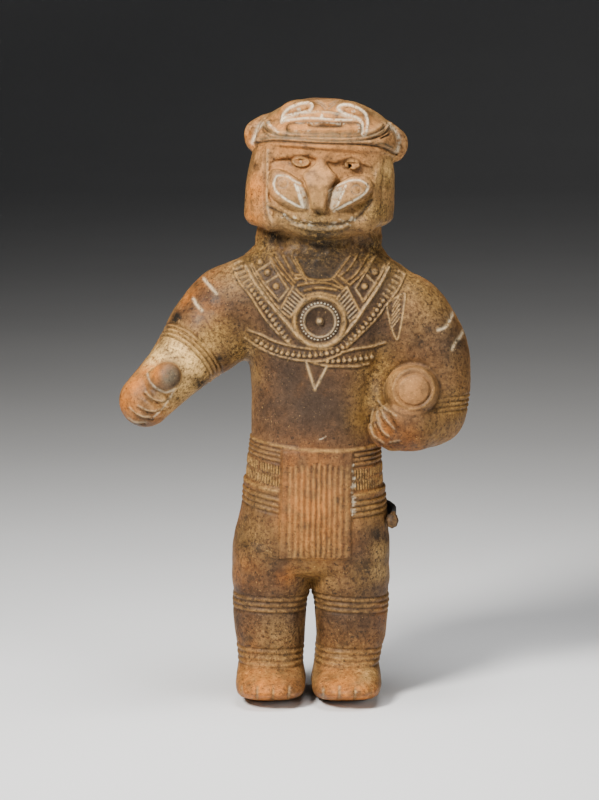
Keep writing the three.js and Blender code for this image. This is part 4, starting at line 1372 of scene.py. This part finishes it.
# Where the firing and the soil left other tones: place on the sheet, size, and strength.
TONES = {
    "light": [
        (-24, 4, 11, 0.6), (17, 4, 11, 0.55), (46, 145, 12, 0.7), (-79, 138, 12, 0.35), (1, 96, 16, 0.1),
        (50, 186, 12, 0.1), (-36, 254, 8, 0.6), (37, 251, 8, 0.5), (-27, 207, 5, 0.5), (3, 180, 6, 0.25),
        (62, 128, 9, 0.35), (28, 84, 8, 0.3),
    ],
    "orange": [
        (-52, 199, 12, 0.35), (-84, 147, 7, 0.9), (-88, 138, 7, 0.8), (-78, 152, 5, 0.7),
        (-32, 258, 6, 1.0), (-28, 236, 9, 0.85), (-30, 222, 8, 1.0), (10, 264, 22, 0.45),
        (-10, 262, 20, 0.5), (2, 250, 18, 0.2), (0, 88, 16, 0.55), (3, 74, 13, 0.5), (-3, 105, 14, 0.4),
        (-24, 3, 12, 1.1), (16, 3, 12, 1.05), (-37, 256, 7, 0.8), (-12, 57, 5, 0.5),
        (-72.5, 152.5, 4, 1.2), (28, 100, 9, 0.4), (-70, 134, 6, 0.3), (-30, 60, 8, 0.3),
        (-24, 22, 12, 0.35), (17, 22, 12, 0.3), (46, 144, 13, 0.2), (33, 124, 8, 0.5),
        (-26, 100, 10, 0.35), (34, 38, 5, 0.3), (40, 248, 6, 0.4), (-58, 188, 5, 0.8), (44, 120, 9, 0.3),
        (-50, 181, 9, 0.3),
    ],
    "ochre": [
        (31, 226, 8, 1.0), (33, 240, 7, 0.9), (3, 214, 14, 0.9), (-27, 208, 10, 1.0), (36, 206, 10, 0.9),
        (48, 198, 12, 0.9), (56, 190, 10, 0.6), (30.7, 155, 8, 1.0), (28, 141, 8, 1.0),
        (24, 130, 7, 0.9), (-34, 164, 8, 0.9), (-30, 152, 6, 0.8), (-44, 168, 10, 0.95),
        (70, 150, 12, 0.35), (-26, 92, 12, 0.3), (28, 88, 10, 0.5), (-20, 17, 14, 0.35),
        (17, 17, 14, 0.35), (66, 134, 11, 0.8), (2, 58, 12, 0.7), (58, 124, 9, 0.6), (-26, 74, 14, 0.5),
        (22, 56, 10, 0.4),
    ],
    "cream": [
        (-62, 164, 7, 1.0), (-56, 158, 7, 1.0), (-71, 159, 6, 0.9), (-52, 153, 5, 0.9),
        (-60, 146, 7, 0.9), (-66, 138, 5, 0.6), (-36, 196, 8, 0.25), (36, 246, 5, 0.9),
        (-13, 223, 7, 0.3), (24, 226, 6, 0.35), (4, 220, 5, 0.35), (26, 9, 4, 0.6), (52, 178, 12, 0.12),
        (-16, 30, 8, 0.2), (31.5, 68, 4, 0.45), (32, 59, 4, 0.45), (-50, 164, 5, 0.5),
    ],
    "grey": [
        (0, 140, 22, 1.0), (-12, 150, 14, 0.9), (10, 130, 16, 0.9), (-17, 172, 12, 0.9),
        (24, 168, 12, 0.9), (62, 165, 13, 0.6), (49, 172, 10, 0.5), (56, 152, 8, 0.4),
        (-20, 64, 12, 0.4), (24, 62, 10, 0.5), (-20, 36, 15, 0.75), (17, 34, 15, 0.75), (3, 176, 8, 0.7),
        (3, 200, 9, 1.0), (54, 134, 7, 0.3), (-46, 184, 12, 0.25), (3, 182, 26, 0.8), (-24, 104, 7, 0.7),
        (-27, 92, 8, 0.7), (28, 97, 6, 0.35), (-35, 76, 7, 0.9), (-34, 36, 6, 0.6), (-26, 72, 9, 0.5),
        (28, 70, 8, 0.4), (58, 150, 9, 0.5), (50, 190, 7, 0.3),
    ],
    "knob": [(-66.3, 150.4, 4.0, 1.5)],
    "black": [
        (-62.5, 177.5, 2.2, 1.6), (-51, 146.5, 3, 1.1), (-42.5, 158.5, 1, 1.6), (54, 172, 2.5, 0.7),
        (67, 166, 1.4, 1.0), (50.5, 165.5, 2.5, 0.7), (-47, 187, 3, 0.4), (29.5, 76, 2.2, 1.2),
        (34, 75, 1.4, 0.9), (24, 62, 4, 0.5), (-14, 60, 4, 0.4), (-18, 215, 5, 1.0), (3, 212, 11, 0.9),
        (25, 212, 6, 0.6), (-12, 222, 4, 0.4), (14, 224, 4, 0.4), (3, 201, 7, 0.35), (-21, 22, 4, 0.4),
        (-31, 71, 2, 0.6), (-34, 232, 3, 0.4), (-28, 56, 4, 0.5), (-25, 69, 2, 0.6), (22, 72, 5, 0.4),
        (46, 152, 3, 0.3), (28.5, 144, 4, 0.4), (-29, 66, 1.2, 1.2), (-31, 84, 1, 0.8),
        (40, 118, 4, 0.3),
    ],
    "crust": [
        (3, 214, 10, 1.0), (-22, 210, 7, 0.6), (27, 209, 7, 0.7), (37, 205, 7, 0.5), (31, 226, 7, 0.7),
        (32, 240, 6, 0.6), (0, 220, 10, 0.85), (30, 151, 7, 0.8), (27, 139, 5, 0.6), (-33, 162, 6, 0.7),
        (-30, 151, 4, 0.6), (24, 102, 6, 0.5), (-24, 104, 8, 0.4), (27, 10, 4, 0.6), (-44, 168, 7, 0.4),
        (44, 198, 9, 0.4), (-20, 16, 8, 0.3), (17, 16, 8, 0.3),
    ],
    "smooth": [
        (46, 145, 12, 0.75), (0, 238, 20, 0.7), (0, 264, 26, 0.55), (1, 92, 22, 0.6), (2, 138, 22, 0.45),
        (-22, 6, 14, 0.2), (17, 6, 14, 0.2), (-60, 158, 12, 0.75), (-72, 146, 14, 0.6),
        (3, 180, 24, 0.2),
    ],
}

# Where the rod's end shows on the sheet, which stays free of the cream around it.
KNOB = (-67.0, 150.6)

# How much of a tone shows on the sides and the back.
ELSEWHERE = {"cream": 0.5, "black": 0.5, "light": 0.6, "knob": 0.0, "crust": 0.4}


def paint(mesh):
    """Writes the tones of each vertex, and the colours painted in the carving with its painted shade, as
    named attributes.
    """
    places, normals = vertex_arrays(mesh)
    u, v = on_sheet(*places.T)
    pale, dark, tan = carve(places, normals)[1:]
    rough = 0.6 * noise(places, 7, 21) + 0.4 * noise(places, 3, 22)
    layers = {"pale": pale, "dark": dark, "tan": tan}
    front = smooth_step(-normals[:, 1], -0.2, 0.5)
    for k, (tone, blobs) in enumerate(TONES.items()):
        amount = np.zeros(len(places), np.float32)
        for across, up, size, strength in blobs:
            away = np.hypot(u - across, v - up) / size
            amount = np.maximum(amount, strength * np.exp(-0.9 * away**2 * (1 + 0.5 * rough)))
        elsewhere = 0.32 + 0.45 * noise(places, 16, 31 + k) + 0.25 * noise(places, 6, 41 + k)
        share = ELSEWHERE.get(tone, 1.0)
        layers[tone] = front * amount + (1 - front) * np.clip(elsewhere, 0, 1) * share
    off_knob = smooth_step(np.hypot(u - KNOB[0], v - KNOB[1]), 6.0, 7.5)
    layers["cream"] = layers["cream"] * np.where(front > 0.5, off_knob, 1)
    head_front = smooth_step(v, 213, 216) * smooth_step(-normals[:, 1], 0, 0.4)
    layers["light"] = np.maximum(layers["light"], head_front)
    turns, layers["rows"] = tick_rows(places, np.stack([u, v]))
    for name in layers:
        layers[name] = np.clip(layers[name], 0, 1)
    layers["turns"] = turns
    for name, values in layers.items():
        attribute = mesh.attributes.new(name, "FLOAT", "POINT")
        attribute.data.foreach_set("value", values.astype(np.float32))


class Nodes:
    """Shorthands for wiring a material. Noise scales are counted per metre."""

    def __init__(self, name):
        self.material = bpy.data.materials.new(name)
        self.material.use_nodes = True
        self.tree = self.material.node_tree
        self.shader = self.tree.nodes["Principled BSDF"]
        self.coordinates = self.make("ShaderNodeTexCoord").outputs["Object"]

    def make(self, kind, **settings):
        node = self.tree.nodes.new(kind)
        for name, value in settings.items():
            setattr(node, name, value)
        return node

    def link(self, source, target):
        self.tree.links.new(source, target)

    def attribute(self, name):
        return self.make("ShaderNodeAttribute", attribute_name=name).outputs["Fac"]

    def noise(self, scale, detail=4.0, roughness=0.6):
        node = self.make("ShaderNodeTexNoise")
        node.inputs["Scale"].default_value = scale
        node.inputs["Detail"].default_value = detail
        node.inputs["Roughness"].default_value = roughness
        self.link(self.coordinates, node.inputs["Vector"])
        return node.outputs["Fac"]

    def ramp(self, source, low, high):
        """A soft step from 0 to 1 while a source goes from low to high."""
        node = self.make("ShaderNodeMapRange", interpolation_type="SMOOTHSTEP")
        node.inputs["From Min"].default_value = low
        node.inputs["From Max"].default_value = high
        self.link(source, node.inputs["Value"])
        return node.outputs["Result"]

    def math(self, operation, a, b):
        node = self.make("ShaderNodeMath", operation=operation, use_clamp=True)
        for value, socket in zip((a, b), node.inputs):
            if isinstance(value, float):
                socket.default_value = value
            else:
                self.link(value, socket)
        return node.outputs["Value"]

    def mix(self, amount, below, colour, kind="MIX"):
        node = self.make("ShaderNodeMix", data_type="RGBA", blend_type=kind)
        self.link(amount, node.inputs["Factor"])
        for value, socket in ((below, node.inputs["A"]), (colour, node.inputs["B"])):
            if isinstance(value, tuple):
                socket.default_value = (*value, 1)
            else:
                self.link(value, socket)
        return node.outputs["Result"]

    def spread(self, below, colour, amounts, kind="MIX"):
        """A colour laid on by the product of some amounts."""
        amount = amounts[0]
        for other in amounts[1:]:
            amount = self.math("MULTIPLY", amount, other)
        return self.mix(amount, below, colour, kind)

    def layer(self, below, tone, colour, noise, patches=(0.28, 0.58), strength=1.0):
        """A tone that lies patchily where its attribute is high."""
        amounts = (self.attribute(tone), self.ramp(noise, *patches), strength)
        return self.spread(below, colour, amounts)

    def shine(self, source, low, high):
        """Roughness that goes from low to high with a source."""
        node = self.make("ShaderNodeMapRange")
        node.inputs["To Min"].default_value = low
        node.inputs["To Max"].default_value = high
        self.link(source, node.inputs["Value"])
        self.link(node.outputs["Result"], self.shader.inputs["Roughness"])


# Depths between which the clip's front end changes from clay tones to black, in metres.
CLIP_TIP = (-0.0125, -0.0115)

# Colours of the clay and of what lies on it, and of the shade painted into its grooves, as light values.
CLAY_BROWN = (0.172, 0.084, 0.034)
CLAY_DEEP = (0.072, 0.038, 0.0185)
CLAY_ORANGE = (0.64, 0.205, 0.025)
CLAY_OCHRE = (0.28, 0.155, 0.04)
CLAY_GREY = (0.05, 0.031, 0.0195)
CLAY_CREAM = (0.82, 0.52, 0.185)
LINE_TAN = (0.44, 0.25, 0.076)
PIGMENT_WHITE = (0.8, 0.7, 0.5)
SOOT = (0.012, 0.009, 0.006)
# Painted shade for grooves, recesses and the gaps between ticks, and the collar's darker ground.
SHADE_AND_DARK_GROUND = (0.035, 0.021, 0.011)
KNOB_GREY = (0.11, 0.09, 0.06)
CRUST_DARK = (0.04, 0.024, 0.011)
CRUST_GOLD = (0.44, 0.27, 0.085)
LIGHT_TAN = (0.5, 0.272, 0.108)
DARKER = (0.5, 0.46, 0.42)
LIGHTER = (1.6, 1.55, 1.45)

# Colours of the mount's paint and of its toned clip end, and of the studio paper.
PAINT_BLACK = (0.012, 0.012, 0.013)
PAINT_WORN = (0.03, 0.029, 0.028)
CLIP_DARK = (0.03, 0.017, 0.008)
CLIP_BROWN = (0.13, 0.068, 0.024)
PAPER_DIM = (0.82, 0.825, 0.835)
PAPER_BRIGHT = (0.85, 0.855, 0.865)


def clay_material():
    """Fired clay: tones, then the carving's painted shade and tan lines, then grain, specks and dust
    over it all.
    """
    nodes = Nodes("fired_clay_surface")
    broad, patch, fine = nodes.noise(45, 5), nodes.noise(140, 6, 0.65), nodes.noise(700, 5, 0.7)
    grit, tan_share = nodes.noise(1250, 3, 0.65), nodes.ramp(nodes.noise(380, 4, 0.65), 0.28, 0.56)
    rough = nodes.math("SUBTRACT", 1.0, nodes.attribute("smooth"))

    colour = nodes.mix(nodes.ramp(broad, 0.38, 0.62), CLAY_DEEP, CLAY_BROWN)
    colour = nodes.layer(colour, "light", LIGHT_TAN, patch, strength=0.85)
    colour = nodes.layer(colour, "orange", CLAY_ORANGE, patch)
    colour = nodes.layer(colour, "grey", CLAY_GREY, patch, (0.2, 0.48), 0.95)
    colour = nodes.layer(colour, "ochre", CLAY_OCHRE, fine)
    colour = nodes.layer(colour, "cream", CLAY_CREAM, fine)
    colour = nodes.layer(colour, "knob", KNOB_GREY, patch, strength=0.9)

    # Painted shade in grooves, recesses and under raised lines, and the collar's darker ground.
    colour = nodes.layer(colour, "dark", SHADE_AND_DARK_GROUND, nodes.noise(260, 4), (0.2, 0.5))
    colour = nodes.spread(colour, LINE_TAN, (nodes.attribute("tan"), tan_share))
    # The gaps between the belt's ticks are painted with shade.
    ticked = nodes.ramp(nodes.math("PINGPONG", nodes.attribute("turns"), 0.5), 0.14, 0.34)
    ticks = nodes.mix(ticked, SHADE_AND_DARK_GROUND, LINE_TAN)
    colour = nodes.spread(colour, ticks, (nodes.attribute("rows"), nodes.ramp(tan_share, 0.0, 1.4)))
    crumbs = nodes.mix(nodes.ramp(nodes.noise(850, 4, 0.7), 0.42, 0.6), CRUST_DARK, CRUST_GOLD)
    colour = nodes.layer(colour, "crust", crumbs, nodes.noise(200, 4), (0.3, 0.55))

    coarse = nodes.ramp(nodes.noise(310, 5, 0.7), 0.7, 0.3)
    colour = nodes.spread(colour, DARKER, (coarse, rough), "MULTIPLY")
    colour = nodes.spread(colour, DARKER, (nodes.ramp(fine, 0.56, 0.32), rough), "MULTIPLY")
    colour = nodes.mix(nodes.ramp(grit, 0.56, 0.72), colour, LIGHTER, "MULTIPLY")
    colour = nodes.layer(colour, "pale", PIGMENT_WHITE, nodes.noise(520, 5, 0.7), (0.33, 0.53))
    colour = nodes.layer(colour, "black", SOOT, nodes.noise(420, 5, 0.7), (0.34, 0.5))
    pits = nodes.ramp(nodes.noise(820, 2, 0.5), 0.61, 0.68)
    blots = nodes.ramp(nodes.noise(420, 3, 0.6), 0.66, 0.72)
    for specks in (pits, blots):
        colour = nodes.spread(colour, SOOT, (specks, rough, 0.75))
    dust = nodes.ramp(nodes.noise(1000, 4, 0.7), 0.6, 0.72)
    colour = nodes.spread(colour, CLAY_CREAM, (dust, nodes.ramp(patch, 0.4, 0.6), 0.35))
    nodes.link(colour, nodes.shader.inputs["Base Color"])

    nodes.shine(nodes.ramp(patch, 0.3, 0.7), 0.45, 0.7)
    nodes.shader.inputs["Specular IOR Level"].default_value = 0.18
    bump = nodes.make("ShaderNodeBump")
    bump.inputs["Strength"].default_value = 0.8
    bump.inputs["Distance"].default_value = 0.0003
    height = nodes.math("ADD", nodes.math("MULTIPLY", fine, 0.6), nodes.math("MULTIPLY", grit, 0.35))
    nodes.link(height, bump.inputs["Height"])
    nodes.link(bump.outputs["Normal"], nodes.shader.inputs["Normal"])
    return nodes.material


def mount_material():
    """Satin black paint on metal, with the foremost end of the clip toned like the clay."""
    nodes = Nodes("mount_black_paint")
    grain = nodes.noise(900, 3)
    paint = nodes.mix(nodes.ramp(grain, 0.3, 0.7), PAINT_BLACK, PAINT_WORN)
    toned = nodes.mix(nodes.ramp(nodes.noise(420, 4), 0.35, 0.65), CLIP_DARK, CLIP_BROWN)
    split = nodes.make("ShaderNodeSeparateXYZ")
    nodes.link(nodes.coordinates, split.inputs["Vector"])
    colour = nodes.mix(nodes.ramp(split.outputs["Y"], *CLIP_TIP), toned, paint)
    nodes.link(colour, nodes.shader.inputs["Base Color"])
    nodes.shine(grain, 0.55, 0.7)
    nodes.shader.inputs["Specular IOR Level"].default_value = 0.25
    return nodes.material


def floor_material():
    """Plain matte paper, a little uneven."""
    nodes = Nodes("studio_paper")
    colour = nodes.mix(nodes.ramp(nodes.noise(3, 2), 0.3, 0.7), PAPER_DIM, PAPER_BRIGHT)
    nodes.link(colour, nodes.shader.inputs["Base Color"])
    nodes.shader.inputs["Roughness"].default_value = 0.9
    return nodes.material


def studio_floor():
    """A plain sheet of paper that runs back and curves up behind the figure, in metres."""
    half, front, corner, back, top, steps = 6.0, -2.6, 3.0, 6.0, 4.0, 20
    bend = back - corner
    profile = [(front, 0.0), (corner, 0.0)]
    for k in range(1, steps + 1):
        turn = 0.5 * math.pi * k / steps
        profile.append((corner + bend * math.sin(turn), bend * (1 - math.cos(turn))))
    profile.append((back, top))
    mesh = bpy.data.meshes.new("studio_floor")
    rows = [(side * half, y, z) for y, z in profile for side in (-1, 1)]
    faces = [(2 * k, 2 * k + 1, 2 * k + 3, 2 * k + 2) for k in range(len(profile) - 1)]
    mesh.from_pydata(rows, [], faces)
    mesh.polygons.foreach_set("use_smooth", np.ones(len(mesh.polygons), bool))
    mesh.materials.append(floor_material())
    floor = bpy.data.objects.new("studio_floor", mesh)
    bpy.context.scene.collection.objects.link(floor)


# Lights in metres in the part's frame: place, aim, size, watts, spread in degrees, and colour.
CHEST = (0.0, -0.02, 0.15)
LIGHTS = {
    "key": ((-0.6, -0.85, 0.95), CHEST, 0.4, 7.4, 80, (1.0, 0.97, 0.92)),
    "fill": ((0.95, -0.9, 0.45), CHEST, 0.7, 2.3, 100, (1.0, 0.98, 0.95)),
    "top": ((0.1, -0.2, 1.1), (0, -0.2, 0), 0.6, 2.3, 80, (1, 1, 1)),
}
AIR_COLOUR = (0.027, 0.027, 0.0275)


def area_light(name, place, aim, size, power, spread, colour):
    """A round lamp turned to what it lights."""
    data = bpy.data.lights.new(name, "AREA")
    data.shape = "DISK"
    data.size = size
    data.energy = power
    data.color = colour
    data.spread = math.radians(spread)
    lamp = bpy.data.objects.new(name, data)
    lamp.location = place
    lamp.rotation_euler = (Vector(aim) - lamp.location).to_track_quat("-Z", "Y").to_euler()
    bpy.context.scene.collection.objects.link(lamp)


def studio_air():
    """A faint even light from all around."""
    world = bpy.data.worlds.new("studio_air")
    world.use_nodes = True
    world.node_tree.nodes["Background"].inputs["Color"].default_value = (*AIR_COLOUR, 1)
    bpy.context.scene.world = world


def studio_camera():
    """The camera at the visitor's eye."""
    data = bpy.data.cameras.new("camera")
    data.lens = LENS
    data.sensor_width = SENSOR_WIDTH
    camera = bpy.data.objects.new("camera", data)
    camera.location = Vector((VISITOR_EYE + MIDLINE) * MM)
    aim = Vector((LOOK_AT + MIDLINE) * MM) - camera.location
    camera.rotation_euler = aim.to_track_quat("-Z", "Y").to_euler()
    bpy.context.scene.collection.objects.link(camera)
    bpy.context.scene.camera = camera


figurine = carved_figurine()
paint(figurine.data)
figurine.data.materials.append(clay_material())
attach(figurine, "root")
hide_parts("figurine")

black_paint = mount_material()
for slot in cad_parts["mount"].material_slots:
    slot.material = black_paint

studio_floor()
studio_camera()
studio_air()
for light, settings in LIGHTS.items():
    area_light(light, *settings)
